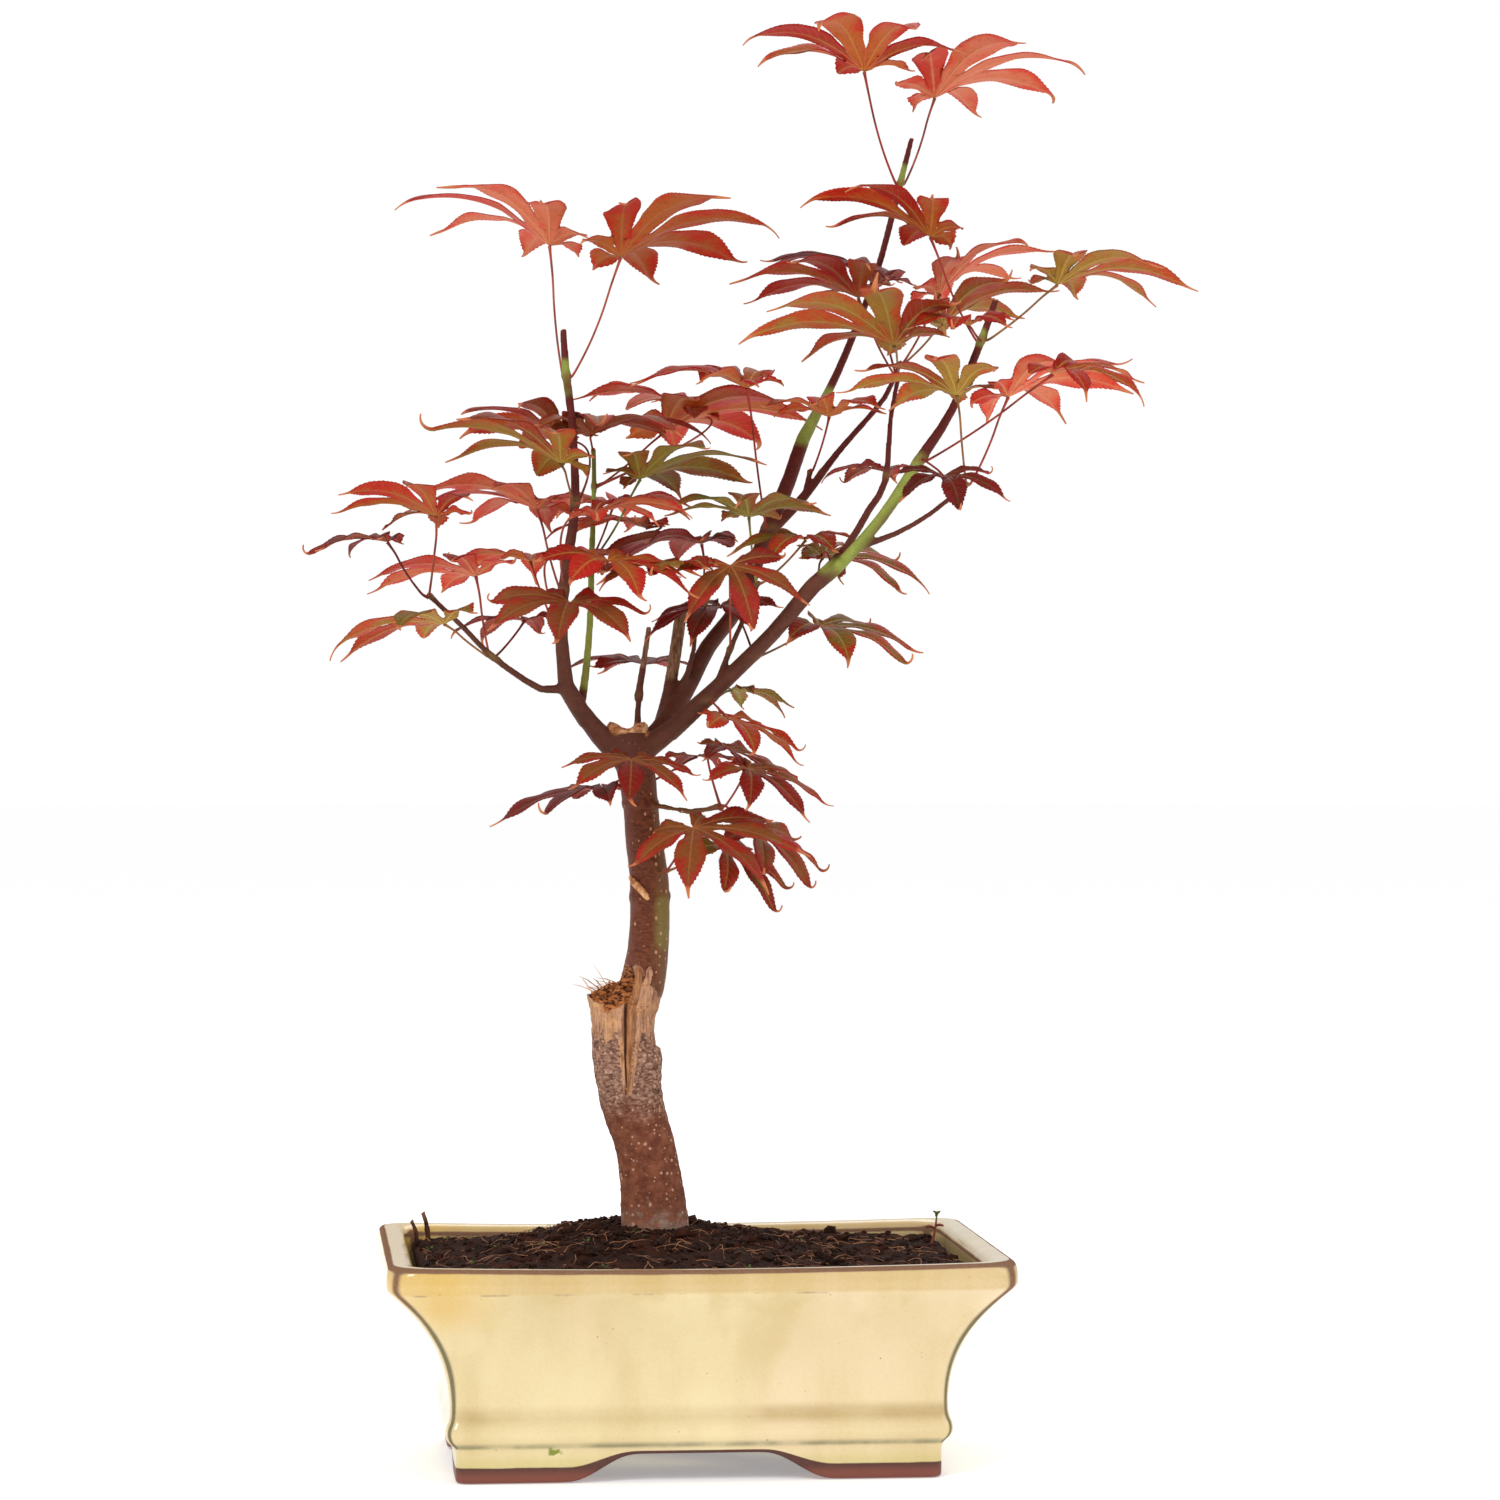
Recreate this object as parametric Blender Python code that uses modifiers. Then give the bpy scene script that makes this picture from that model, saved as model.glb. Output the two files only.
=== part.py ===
"""Maple bonsai in a glazed rectangular pot: pot, drain screens, soil, one-piece wood and separate leaves.

Metres, +Z up. Sizes below are in millimetres, about the pot's centre on the surface it stands on.
"""
from math import cos, exp, radians, sin

import bmesh
import bpy
from mathutils import Matrix, Vector

MM = 0.001
GAP = 0.3

# The pot stands off the middle of the whole object, because the crown reaches further right.
POT_CENTRE = Vector((-17.5, 1, 0))

POT_LENGTH = 210
POT_WIDTH = 156
POT_HEIGHT = 75
CORNER_RADIUS = 4
RIM_BAND = 9
RIM_WIDTH = 9
RIM_SAG = 1.5
WAIST_INSET = 21
WAIST_HEIGHT = 22
WALL = 8
FLOOR_TOP = 17
FLOOR_UNDER = 10.5
SIDE_POINTS = 4
CORNER_POINTS = 3

FOOT_OUTER = 44
FOOT_INNER = 22
END_FOOT_OUTER = 30
END_FOOT_INNER = 14
END_ARCH_RISE = 7
LONG_ARCH_RISE = 9.5
RECESS_LENGTH = 132
RECESS_WIDTH = 80
DRAIN_RADIUS = 9
DRAIN_SPACING = 80

SCREEN_SIZE = 32
SCREEN_THICK = 0.8
CLIP_WIRE = 0.6
CLIP_HALF_SPAN = 6

SOIL_EDGE = 69
SOIL_MOUND = 11
MOUND_SPREAD = 42
TRUNK_X = -11

# Each route is a list of points (x, y, z, radius) chosen by hand, base first.
TRUNK = [(-11, 0, 56, 14), (-11, 0, 80, 12), (-14, 0, 106, 10.5), (-19, 0, 123, 11),
         (-21, 0, 140, 12), (-22, 0, 158, 11)]
LIMBS = {
    "stump": [(-22, -1, 146, 10), (-25, -1, 156, 9), (-28, -1, 164, 7.5)],
    "leader": [(-19, 0, 150, 9.5), (-14.5, 0, 169, 7.8), (-13, 0, 182, 7.2), (-13, 0, 200, 7),
               (-15, 0, 214, 6.6), (-16, 0, 226, 6.3), (-18, 0, 240, 6.9), (-21, 0, 252, 6.4)],
    "left_arm": [(-21, -1, 242, 5.2), (-30, -2, 250, 4), (-38, -5, 260, 3.2), (-43, -7, 268, 3)],
    "left_shoot": [(-42, -7, 265, 2.9), (-44, -8, 286, 2.2), (-43, -7, 301, 2), (-41, -6, 315, 1.9),
                   (-39, -6, 331, 1.6), (-40, -5, 358, 1.4), (-42, -4, 374, 1.5), (-43, -4, 390, 1.1)],
    "far_left_twig": [(-42, -7, 266, 1.7), (-51, -9, 266, 1.3), (-68, -16, 277, 1.1),
                      (-77, -19, 286, 1), (-90, -23, 298, 0.9)],
    "green_twig": [(-37, -4, 260, 1.7), (-35, 2, 271, 1.4), (-33, 8, 290, 1.2), (-32, 14, 313, 1.1),
                   (-31, 18, 337, 0.9), (-31, 20, 350, 0.8)],
    "dead_twig": [(-17, 3, 246, 2.2), (-16, 9, 264, 1.4), (-14, 12, 276, 1.1), (-12, 14, 288, 1)],
    "grey_stub": [(-10, 9, 249, 2.8), (-5, 15, 265, 2.3), (0, 22, 294, 2.2)],
    "middle_shoot": [(-16, 3, 244, 4.8), (-7, 9, 254, 3.9), (3, 15, 270, 3.2), (9, 19, 281, 3),
                     (20, 24, 295, 2.8), (27, 26, 312, 2.8), (31, 27, 322, 3), (39, 29, 341, 2.6),
                     (44, 31, 355, 2.5), (51, 31, 368, 1.7), (59, 31, 385, 1.4), (70, 30, 414, 1.2),
                     (78, 28, 445, 1.2), (82, 27, 461, 0.9)],
    "inner_twig": [(-2, 12, 262, 1.3), (3, 9, 279, 0.9), (4, 8, 291, 0.8)],
    "side_shoot": [(31, 26, 321, 2), (43, 19, 334, 1.7), (54, 12, 349, 1.2), (70, 8, 368, 1),
                   (75, 5, 380, 0.9)],
    "spur": [(43, 19, 334, 1.1), (45, 18, 343, 0.9)],
    "right_shoot": [(-15, -1, 245, 4.5), (-7, -4, 251, 3.8), (9, -12, 266, 3), (28, -18, 285, 2.7),
                    (42, -24, 302, 2.9), (48, -25, 306, 2.2), (64, -29, 324, 2), (77, -31, 344, 2),
                    (88, -32, 361, 1.5), (98, -34, 385, 1.4), (103, -34, 399, 1.1)],
    "right_twig": [(55, -27, 314, 1.3), (69, -29, 319, 1), (81, -32, 326, 0.9), (93, -35, 336, 0.9)],
    "dark_twig": [(42, -24, 303, 2), (53, -18, 314, 1.4), (62, -13, 328, 1.3), (68, -10, 338, 1.2),
                  (70, -9, 360, 0.9), (73, -8, 375, 0.9)],
    "small_twig": [(9, -12, 266, 1.4), (14, -12, 280, 1), (21, -10, 295, 0.9), (24, -8, 303, 0.9)],
    "low_twig": [(-13, -3, 199, 1.7), (-8, -9, 204, 1)],
    "front_twig": [(-15, -3, 227, 1.4), (0, -13, 224, 1), (10, -18, 226, 0.9)],
}
THICK_LIMBS = ("stump", "leader", "left_arm")
ROUTE_STEP = 7

# Nodes of the wood that bear leaves: centre and the wood's radius there.
NODES = {
    "crown": (78, 28, 445, 1.2),
    "left_top": (-42, -4, 374, 1.5),
    "left_mid": (-39, -6, 331, 1.6),
    "left_low": (-43, -7, 300, 2),
    "left_base": (-44, -8, 286, 2.2),
    "far_left": (-90, -23, 298, 0.9),
    "near_left": (-68, -16, 277, 1.1),
    "green_tip": (-31, 20, 350, 0.8),
    "green_high": (-31, 18, 337, 0.9),
    "green_low": (-32, 14, 313, 1.1),
    "dead_knot": (-16, 9, 264, 1.4),
    "middle_knot": (31, 27, 324, 3),
    "inner": (4, 8, 291, 0.8),
    "spur": (45, 18, 343, 0.9),
    "side_tip": (75, 5, 380, 0.9),
    "dark_tip": (73, -8, 375, 0.9),
    "dark_mid": (68, -10, 340, 1.2),
    "elbow": (42, -24, 302, 2.9),
    "right_arm": (20, -15, 277, 2.8),
    "right_fork": (5, -10, 262, 3.2),
    "right_bend": (77, -31, 344, 2),
    "right_top": (98, -34, 385, 1.4),
    "right_low": (93, -35, 336, 0.9),
    "twig_mid": (14, -12, 280, 1),
    "twig_tip": (24, -8, 303, 0.9),
    "leader_top": (-18, 0, 235, 6.7),
    "front_tip": (10, -18, 226, 0.9),
    "low_tip": (-8, -9, 204, 1),
}

# Leaves: the node, the hub's offset from it, the way the middle lobe points (0 right, 90 back,
# 180 left, 270 front), how far it nods, how far the left half is raised, its length, and the lobes.
LEAVES = {
    "crown_1": ("crown", (-14, -10, 38), 245, -5, 0, 58, 7),
    "crown_2": ("crown", (14, 13, 32), 340, -5, -10, 60, 7),
    "left_top_1": ("left_top", (-5, 12, 46), 180, -10, 8, 60, 7),
    "left_top_2": ("left_top", (18, -12, 40), 350, -5, -15, 60, 7),
    "left_mid_1": ("left_mid", (-6, -18, 12), 180, -10, 10, 54, 7),
    "left_low_1": ("left_low", (-8, 22, 29), 160, 0, 10, 50, 7),
    "left_base_2": ("left_base", (-9, 29, 25), 85, 5, 0, 44, 7),
    "left_base_1": ("left_base", (1, -32, 9), 260, 20, -5, 42, 7),
    "far_left_1": ("far_left", (2, -18, 26), 210, -10, 10, 40, 7),
    "far_left_2": ("far_left", (-14, -2, 18), 165, 10, 0, 32, 5),
    "near_left_1": ("near_left", (-5, 14, 28), 210, 0, 10, 44, 5),
    "near_left_2": ("near_left", (-17, -18, 11), 200, 10, 10, 46, 5),
    "near_left_3": ("near_left", (12, 20, 13), 120, 10, 0, 32, 5),
    "green_tip_1": ("green_tip", (-1, -4, 5), 310, 5, 0, 48, 7),
    "green_low_3": ("green_low", (9, 22, 18), 80, 5, 0, 42, 7),
    "green_low_1": ("green_low", (16, -12, 26), 340, -5, -10, 48, 7),
    "green_low_2": ("green_low", (2, -24, -7), 350, 0, 0, 36, 7),
    "green_high_1": ("green_high", (27, 28, 21), 0, 0, -10, 60, 7),
    "dead_knot_1": ("dead_knot", (3, 12, 11), 110, 0, 0, 38, 5),
    "middle_1": ("middle_knot", (-11, -36, 46), 150, 0, -5, 46, 7),
    "inner_1": ("inner", (2, 2, 26), 140, 10, 0, 42, 7),
    "spur_1": ("spur", (5, -14, 18), 255, 0, 0, 36, 5),
    "side_tip_1": ("side_tip", (17, 22, 26), 0, -15, -10, 48, 7),
    "side_tip_2": ("side_tip", (14, -8, 13), 350, -10, -10, 44, 5),
    "dark_tip_1": ("dark_tip", (-6, 14, 32), 150, -5, 0, 48, 7),
    "dark_tip_2": ("dark_tip", (-15, -6, 26), 190, 0, 10, 48, 7),
    "dark_tip_3": ("dark_tip", (-5, -26, 8), 215, -5, 10, 60, 7),
    "right_bend_2": ("right_bend", (6, -17, -6), 275, 30, 0, 32, 5),
    "dark_mid_1": ("dark_mid", (2, 14, 2), 120, 10, 0, 28, 5),
    "right_top_1": ("right_top", (-15, 19, 37), 180, -10, 10, 50, 7),
    "right_top_2": ("right_top", (24, -14, 18), 350, 8, -8, 50, 7),
    "right_top_3": ("right_top", (-6, -12, 4), 250, 15, 0, 30, 5),
    "right_low_1": ("right_low", (-6, -17, 29), 210, -5, 10, 45, 7),
    "right_low_2": ("right_low", (17, 20, 31), 15, 0, -15, 50, 7),
    "right_bend_1": ("right_bend", (42, -26, 28), 330, 20, 10, 38, 5),
    "elbow_1": ("elbow", (6, 30, 10), 0, 15, 15, 42, 7),
    "right_arm_1": ("right_arm", (26, 17, 11), 325, 20, 5, 42, 7),
    "right_fork_1": ("right_fork", (7, -12, -6), 330, 25, 0, 34, 7),
    "right_fork_2": ("right_fork", (11, 14, 4), 30, 15, 0, 26, 5),
    "twig_mid_1": ("twig_mid", (-2, -22, 28), 285, 45, 10, 36, 5),
    "twig_tip_1": ("twig_tip", (-2, 12, 23), 260, -5, 0, 42, 7),
    "twig_tip_2": ("twig_tip", (17, 4, 15), 240, 15, 0, 34, 5),
    "leader_1": ("leader_top", (-3, -24, 7), 265, 20, -5, 34, 7),
    "leader_2": ("leader_top", (-12, -14, -3), 190, 10, 0, 42, 7),
    "leader_3": ("leader_top", (22, 6, 8), 60, 10, 0, 26, 5),
    "front_1": ("front_tip", (9, -8, 13), 310, 25, 0, 34, 7),
    "front_2": ("front_tip", (13, 10, -8), 320, 35, 0, 34, 7),
    "low_1": ("low_tip", (7, -30, 15), 305, 20, 15, 44, 7),
    "low_2": ("low_tip", (20, -4, 8), 320, 40, 0, 34, 5),
}
# Turn from the middle lobe in degrees and relative length, for the left half of a leaf.
LOBES = {5: ((0, 1.0), (44, 0.9), (92, 0.58)), 7: ((0, 1.0), (40, 0.94), (80, 0.72), (128, 0.34))}
# Lobes leave the hub steeply in a leaf near the top, less so in a low one, and droop at their tips.
RISE_HIGH = 40
RISE_LOW = 14
HIGH_LEAF = 390
LOW_LEAF = 230
TIP_FALL = 32
LOBE_HALF_WIDTH = 0.13
LOBE_WIDEST = 0.55
SINUS = 0.33
BLADE_THICK = 0.9
PETIOLE_HALF_WIDTH = 0.8
PETIOLE_STATIONS = 5
PETIOLE_CLEAR = 1.1

STICKS = {
    "dead_stick_long": [(-86.5, 54, 70.8, 1), (-88, 54.5, 75.5, 0.8), (-89.5, 55, 80.5, 0.5)],
    "dead_stick_short": [(-90.5, 49, 70.8, 0.9), (-92, 49.5, 74.5, 0.8), (-93.6, 50, 78, 0.6)],
}
SEEDLING_STEM = [(90, 34, 70.8, 0.6), (90.4, 34, 75.5, 0.55), (90, 33.6, 80, 0.5)]
SEEDLING_LEAVES = ((-2, 0), (2, 0.5), (0, -2))

COLOURS = {
    "pot": (0.62, 0.53, 0.33, 0.2),
    "soil": (0.035, 0.024, 0.018, 0.95),
    "wood": (0.17, 0.10, 0.075, 0.8),
    "leaf": (0.27, 0.07, 0.05, 0.5),
    "screen": (0.03, 0.03, 0.03, 0.6),
    "clip": (0.45, 0.44, 0.42, 0.35),
    "seedling": (0.16, 0.28, 0.07, 0.6),
    "stick": (0.22, 0.16, 0.11, 0.9),
}

for old in list(bpy.data.objects):
    bpy.data.objects.remove(old, do_unlink=True)
tree = bpy.data.collections.new("maple_bonsai")
tools = bpy.data.collections.new("cutters")
joined = bpy.data.collections.new("limbs")
sprouts = bpy.data.collections.new("seedling_leaves")
for collection in (tree, tools, joined, sprouts):
    bpy.context.scene.collection.children.link(collection)
materials = {}


def place(x, y, z):
    """A point about the pot's centre, in the object's frame and in metres."""
    return (Vector((x, y, z)) + POT_CENTRE) * MM


def material(kind):
    """The one Principled material of a kind of piece."""
    if kind not in materials:
        red, green, blue, roughness = COLOURS[kind]
        made = bpy.data.materials.new(kind)
        made.use_nodes = True
        shader = made.node_tree.nodes["Principled BSDF"]
        shader.inputs["Base Color"].default_value = (red, green, blue, 1)
        shader.inputs["Roughness"].default_value = roughness
        shader.inputs["Metallic"].default_value = 1 if kind == "clip" else 0
        materials[kind] = made
    return materials[kind]


def add_piece(name, mesh, kind):
    """Put a finished piece in the object's collection."""
    piece = bpy.data.objects.new(name, mesh)
    mesh.materials.append(material(kind))
    tree.objects.link(piece)
    return piece


def add_guide(name, mesh, collection):
    """Put a cutter, or a shape that is joined to another, where it isn't built itself."""
    guide = bpy.data.objects.new(name, mesh)
    guide.hide_render = True
    guide.display_type = "WIRE"
    collection.objects.link(guide)
    return guide


def cut(piece, cutter):
    """Take the cutter's shape out of the piece."""
    modifier = piece.modifiers.new("cut_" + cutter.name, "BOOLEAN")
    modifier.operation = "DIFFERENCE"
    modifier.object = cutter


def join_all(piece, collection):
    """Make one solid of the piece and every shape in the collection."""
    modifier = piece.modifiers.new("join", "BOOLEAN")
    modifier.operation = "UNION"
    modifier.operand_type = "COLLECTION"
    modifier.collection = collection


def mesh_from(name, build):
    """A mesh filled by build, with its faces pointing out."""
    shape = bmesh.new()
    build(shape)
    bmesh.ops.recalc_face_normals(shape, faces=shape.faces)
    mesh = bpy.data.meshes.new(name)
    shape.to_mesh(mesh)
    shape.free()
    return mesh


def smooth_route(points, step):
    """A smooth curve through the route's points, sampled about every step."""
    knots = [Vector(point) for point in points]
    last = len(knots) - 1
    route = []
    for i in range(last):
        before, start, end, after = knots[max(i - 1, 0)], knots[i], knots[i + 1], knots[min(i + 2, last)]
        count = max(1, round((end - start).length / step))
        for j in range(count):
            t = j / count
            pull = (end - before) * t + (2 * before - 5 * start + 4 * end - after) * t ** 2
            bend = (3 * start - before - 3 * end + after) * t ** 3
            route.append((2 * start + pull + bend) / 2)
    route.append(knots[-1])
    return route


def tube_mesh(name, points, step, resolution, swell=0):
    """A closed tapered tube along a route, made as a bevelled curve and welded."""
    route = smooth_route(points, step)
    curve = bpy.data.curves.new(name, "CURVE")
    curve.dimensions = "3D"
    curve.bevel_depth = MM
    curve.bevel_resolution = resolution
    curve.use_fill_caps = True
    spline = curve.splines.new("POLY")
    spline.points.add(len(route) - 1)
    for knot, (x, y, z, radius) in zip(spline.points, route):
        knot.co = (*place(x, y, z), 1)
        knot.radius = radius + swell
    holder = bpy.data.objects.new(name, curve)
    tools.objects.link(holder)
    bpy.context.view_layer.update()
    evaluated = holder.evaluated_get(bpy.context.evaluated_depsgraph_get())
    mesh = bpy.data.meshes.new_from_object(evaluated)
    bpy.data.objects.remove(holder)
    shape = bmesh.new()
    shape.from_mesh(mesh)
    bmesh.ops.remove_doubles(shape, verts=shape.verts, dist=0.00001)
    bmesh.ops.recalc_face_normals(shape, faces=shape.faces)
    shape.to_mesh(mesh)
    shape.free()
    mesh.materials.clear()
    return mesh


# Pot ---------------------------------------------------------------------------------------------

def outline(inset):
    """A rounded rectangle, the rim's outline drawn in by inset, anticlockwise from the right side."""
    half_x = POT_LENGTH / 2 - inset
    half_y = POT_WIDTH / 2 - inset
    radius = CORNER_RADIUS
    centres = [(half_x - radius, half_y - radius, 0), (radius - half_x, half_y - radius, 90),
               (radius - half_x, radius - half_y, 180), (half_x - radius, radius - half_y, 270)]
    points = []
    for index, (x, y, start) in enumerate(centres):
        corner = []
        for step in range(CORNER_POINTS):
            angle = radians(start + 90 * step / (CORNER_POINTS - 1))
            corner.append((x + radius * cos(angle), y + radius * sin(angle)))
        points += corner
        turn = radians(centres[(index + 1) % 4][2])
        next_x, next_y, _ = centres[(index + 1) % 4]
        goal = (next_x + radius * cos(turn), next_y + radius * sin(turn))
        for step in range(1, SIDE_POINTS):
            share = step / SIDE_POINTS
            side_x = corner[-1][0] + (goal[0] - corner[-1][0]) * share
            side_y = corner[-1][1] + (goal[1] - corner[-1][1]) * share
            points.append((side_x, side_y))
    return points


def flare_inset(z):
    """How far the outer wall stands in from the rim at a height: a hollow flare over a plain foot."""
    if z <= WAIST_HEIGHT:
        return WAIST_INSET
    share = (z - WAIST_HEIGHT) / (POT_HEIGHT - RIM_BAND - WAIST_HEIGHT)
    return WAIST_INSET * (1 - share ** 2.4)


def sag(x, z):
    """The rim's slight dip at the middle of the long sides."""
    weight = max(0, (z - WAIST_HEIGHT) / (POT_HEIGHT - WAIST_HEIGHT))
    return RIM_SAG * weight ** 3 * max(0, 1 - (2 * x / POT_LENGTH) ** 2)


def pot_section(shape, inset, z):
    return [shape.verts.new(place(x, y, z - sag(x, z))) for x, y in outline(inset)]


def loft(shape, sections):
    """Skin a stack of like outlines and close its two ends."""
    for lower, upper in zip(sections, sections[1:]):
        for i in range(len(lower)):
            j = (i + 1) % len(lower)
            shape.faces.new((lower[i], lower[j], upper[j], upper[i]))
    shape.faces.new(sections[0])
    shape.faces.new(sections[-1])


WALL_LEVELS = [WAIST_HEIGHT, 32, 42, 50, 57, 62, POT_HEIGHT - RIM_BAND]


def build_pot(shape):
    roll = 1.5
    outer = [(WAIST_INSET + 2, 0), (WAIST_INSET + 2, 12), (WAIST_INSET - roll, 16)]
    outer += [(flare_inset(z), z) for z in WALL_LEVELS]
    outer += [(-0.5, POT_HEIGHT - RIM_BAND + 1.5), (0, POT_HEIGHT - 2), (0.8, POT_HEIGHT - 0.6),
              (2.5, POT_HEIGHT)]
    inner = [(RIM_WIDTH - 2, POT_HEIGHT), (RIM_WIDTH, POT_HEIGHT - 1.5)]
    inner += [(flare_inset(z) + WALL + 1.5, z) for z in reversed(WALL_LEVELS)]
    inner += [(WAIST_INSET + WALL + 3, FLOOR_TOP)]
    loft(shape, [pot_section(shape, inset, z) for inset, z in outer + inner])


def arch_mesh(name, outer, inner, top, half_depth, along_x):
    """The opening between two feet: an ogee bracket outline, run right through under the pot."""
    curve = bpy.data.curves.new(name, "CURVE")
    curve.dimensions = "2D"
    curve.fill_mode = "BOTH"
    curve.extrude = half_depth * MM
    rise = [(outer + (inner - outer) * t, top * (3 * t ** 2 - 2 * t ** 3))
            for t in (0, 0.25, 0.5, 0.75, 1)]
    points = [(outer, -5)] + rise + [(-x, z) for x, z in reversed(rise)] + [(-outer, -5)]
    spline = curve.splines.new("POLY")
    spline.points.add(len(points) - 1)
    spline.use_cyclic_u = True
    for knot, (x, z) in zip(spline.points, points):
        knot.co = (x * MM, z * MM, 0, 1)
    holder = bpy.data.objects.new(name, curve)
    tools.objects.link(holder)
    turn = Matrix.Rotation(radians(90), 4, "X")
    if along_x:
        turn = Matrix.Rotation(radians(90), 4, "Z") @ turn
    bpy.context.view_layer.update()
    evaluated = holder.evaluated_get(bpy.context.evaluated_depsgraph_get())
    mesh = bpy.data.meshes.new_from_object(evaluated)
    bpy.data.objects.remove(holder)
    shape = bmesh.new()
    shape.from_mesh(mesh)
    bmesh.ops.remove_doubles(shape, verts=shape.verts, dist=0.00001)
    bmesh.ops.transform(shape, matrix=Matrix.Translation(place(0, 0, 0)) @ turn, verts=shape.verts)
    bmesh.ops.recalc_face_normals(shape, faces=shape.faces)
    shape.to_mesh(mesh)
    shape.free()
    mesh.materials.clear()
    return mesh


def build_drain(x):
    def build(shape):
        centre = Matrix.Translation(place(x, 0, (FLOOR_TOP + FLOOR_UNDER) / 2))
        bmesh.ops.create_cone(shape, cap_ends=True, segments=24, radius1=DRAIN_RADIUS * MM,
                              radius2=DRAIN_RADIUS * MM, depth=4 * FLOOR_UNDER * MM, matrix=centre)
    return build


def build_recess(shape):
    """The hollow under the pot, inside its feet."""
    middle = Matrix.Translation(place(0, 0, 0))
    size = Matrix.Diagonal((RECESS_LENGTH * MM, RECESS_WIDTH * MM, 2 * FLOOR_UNDER * MM, 1))
    bmesh.ops.create_cube(shape, size=1, matrix=middle @ size)


pot = add_piece("pot", mesh_from("pot", build_pot), "pot")
cut(pot, add_guide("recess", mesh_from("recess", build_recess), tools))
long_arch = arch_mesh("long_arch", FOOT_OUTER, FOOT_INNER, LONG_ARCH_RISE, POT_WIDTH, False)
end_arch = arch_mesh("end_arch", END_FOOT_OUTER, END_FOOT_INNER, END_ARCH_RISE, POT_LENGTH, True)
cut(pot, add_guide("long_arch", long_arch, tools))
cut(pot, add_guide("end_arch", end_arch, tools))
drain_places = (("left", -DRAIN_SPACING / 2), ("right", DRAIN_SPACING / 2))
for side, drain_x in drain_places:
    cut(pot, add_guide("drain_" + side, mesh_from("drain_" + side, build_drain(drain_x)), tools))


# Drain screens and their wire clips --------------------------------------------------------------

def build_screen(x):
    def build(shape):
        middle = place(x, 0, FLOOR_TOP + GAP + SCREEN_THICK / 2)
        size = Matrix.Diagonal((SCREEN_SIZE * MM, SCREEN_SIZE * MM, SCREEN_THICK * MM, 1))
        bmesh.ops.create_cube(shape, size=1, matrix=Matrix.Translation(middle) @ size)
    return build


def clip_route(x):
    """A staple hooked under the pot's floor beside the drain hole's edge, below its screen."""
    top = FLOOR_TOP - GAP - CLIP_WIRE
    under = FLOOR_UNDER - GAP - CLIP_WIRE
    wide = DRAIN_RADIUS + 3
    return [(x - wide, 0, under, CLIP_WIRE), (x - CLIP_HALF_SPAN, 0, under, CLIP_WIRE),
            (x - CLIP_HALF_SPAN, 0, top, CLIP_WIRE), (x + CLIP_HALF_SPAN, 0, top, CLIP_WIRE),
            (x + CLIP_HALF_SPAN, 0, under, CLIP_WIRE), (x + wide, 0, under, CLIP_WIRE)]


for side, drain_x in drain_places:
    add_piece("drain_screen_" + side, mesh_from("screen_" + side, build_screen(drain_x)), "screen")
    clip = tube_mesh("screen_clip_" + side, clip_route(drain_x), 100, 1)
    add_piece("screen_clip_" + side, clip, "clip")


# Soil --------------------------------------------------------------------------------------------

def soil_top(x, y):
    """Height of the soil: mounded round the trunk, with slow unevenness."""
    mound = SOIL_MOUND * exp(-((x - TRUNK_X) ** 2 + y ** 2) / (2 * MOUND_SPREAD ** 2))
    return SOIL_EDGE + mound + 0.5 * sin(x / 9) * cos(y / 7)


def build_soil(shape):
    clear = WALL + 1.5 + GAP + 0.4
    bottom = FLOOR_TOP + GAP + SCREEN_THICK + GAP
    levels = [bottom] + WALL_LEVELS
    sections = [[shape.verts.new(place(x, y, z)) for x, y in outline(flare_inset(z) + clear + 1.5)]
                for z in levels]
    edge = outline(WALL + 1.5 + GAP + 1.9)
    for share in (1, 0.8, 0.6, 0.4, 0.25):
        ring = [(TRUNK_X + (x - TRUNK_X) * share, y * share) for x, y in edge]
        sections.append([shape.verts.new(place(x, y, soil_top(x, y))) for x, y in ring])
    loft(shape, sections)


soil = add_piece("soil", mesh_from("soil", build_soil), "soil")
foot_x, foot_y, foot_z, foot_radius = TRUNK[0]
socket_route = [(foot_x, foot_y, foot_z - 1, foot_radius)] + TRUNK
cut(soil, add_guide("trunk_socket", tube_mesh("trunk_socket", socket_route, ROUTE_STEP, 6, 0.6), tools))


# Wood --------------------------------------------------------------------------------------------

wood = add_piece("wood", tube_mesh("wood", TRUNK, ROUTE_STEP, 5), "wood")
for limb_name, limb_route in LIMBS.items():
    sides = 4 if limb_name in THICK_LIMBS else 2
    limb_mesh = tube_mesh(limb_name, limb_route, ROUTE_STEP, sides)
    add_guide(limb_name, limb_mesh, joined)
join_all(wood, joined)


# Leaves ------------------------------------------------------------------------------------------

def lobe_rise(hub):
    """How steeply the lobes of a leaf leave its hub, in degrees."""
    share = (hub.z - LOW_LEAF) / (HIGH_LEAF - LOW_LEAF)
    return RISE_LOW + (RISE_HIGH - RISE_LOW) * min(1, max(0, share))


def lobe_point(axes, rise, turn, length, along, across):
    """A point of a lobe: along runs from 0 at the hub to 1 at the tip, across is in millimetres."""
    ahead, left, up = axes
    out = ahead * cos(turn) + left * sin(turn)
    side = left * cos(turn) - ahead * sin(turn)
    start = radians(rise)
    bend = radians(rise + TIP_FALL)
    slope = start - bend * along
    reach = (sin(start) - sin(slope)) / bend
    height = (cos(slope) - cos(start)) / bend
    return length * (reach * out + height * up) + across * side


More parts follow.
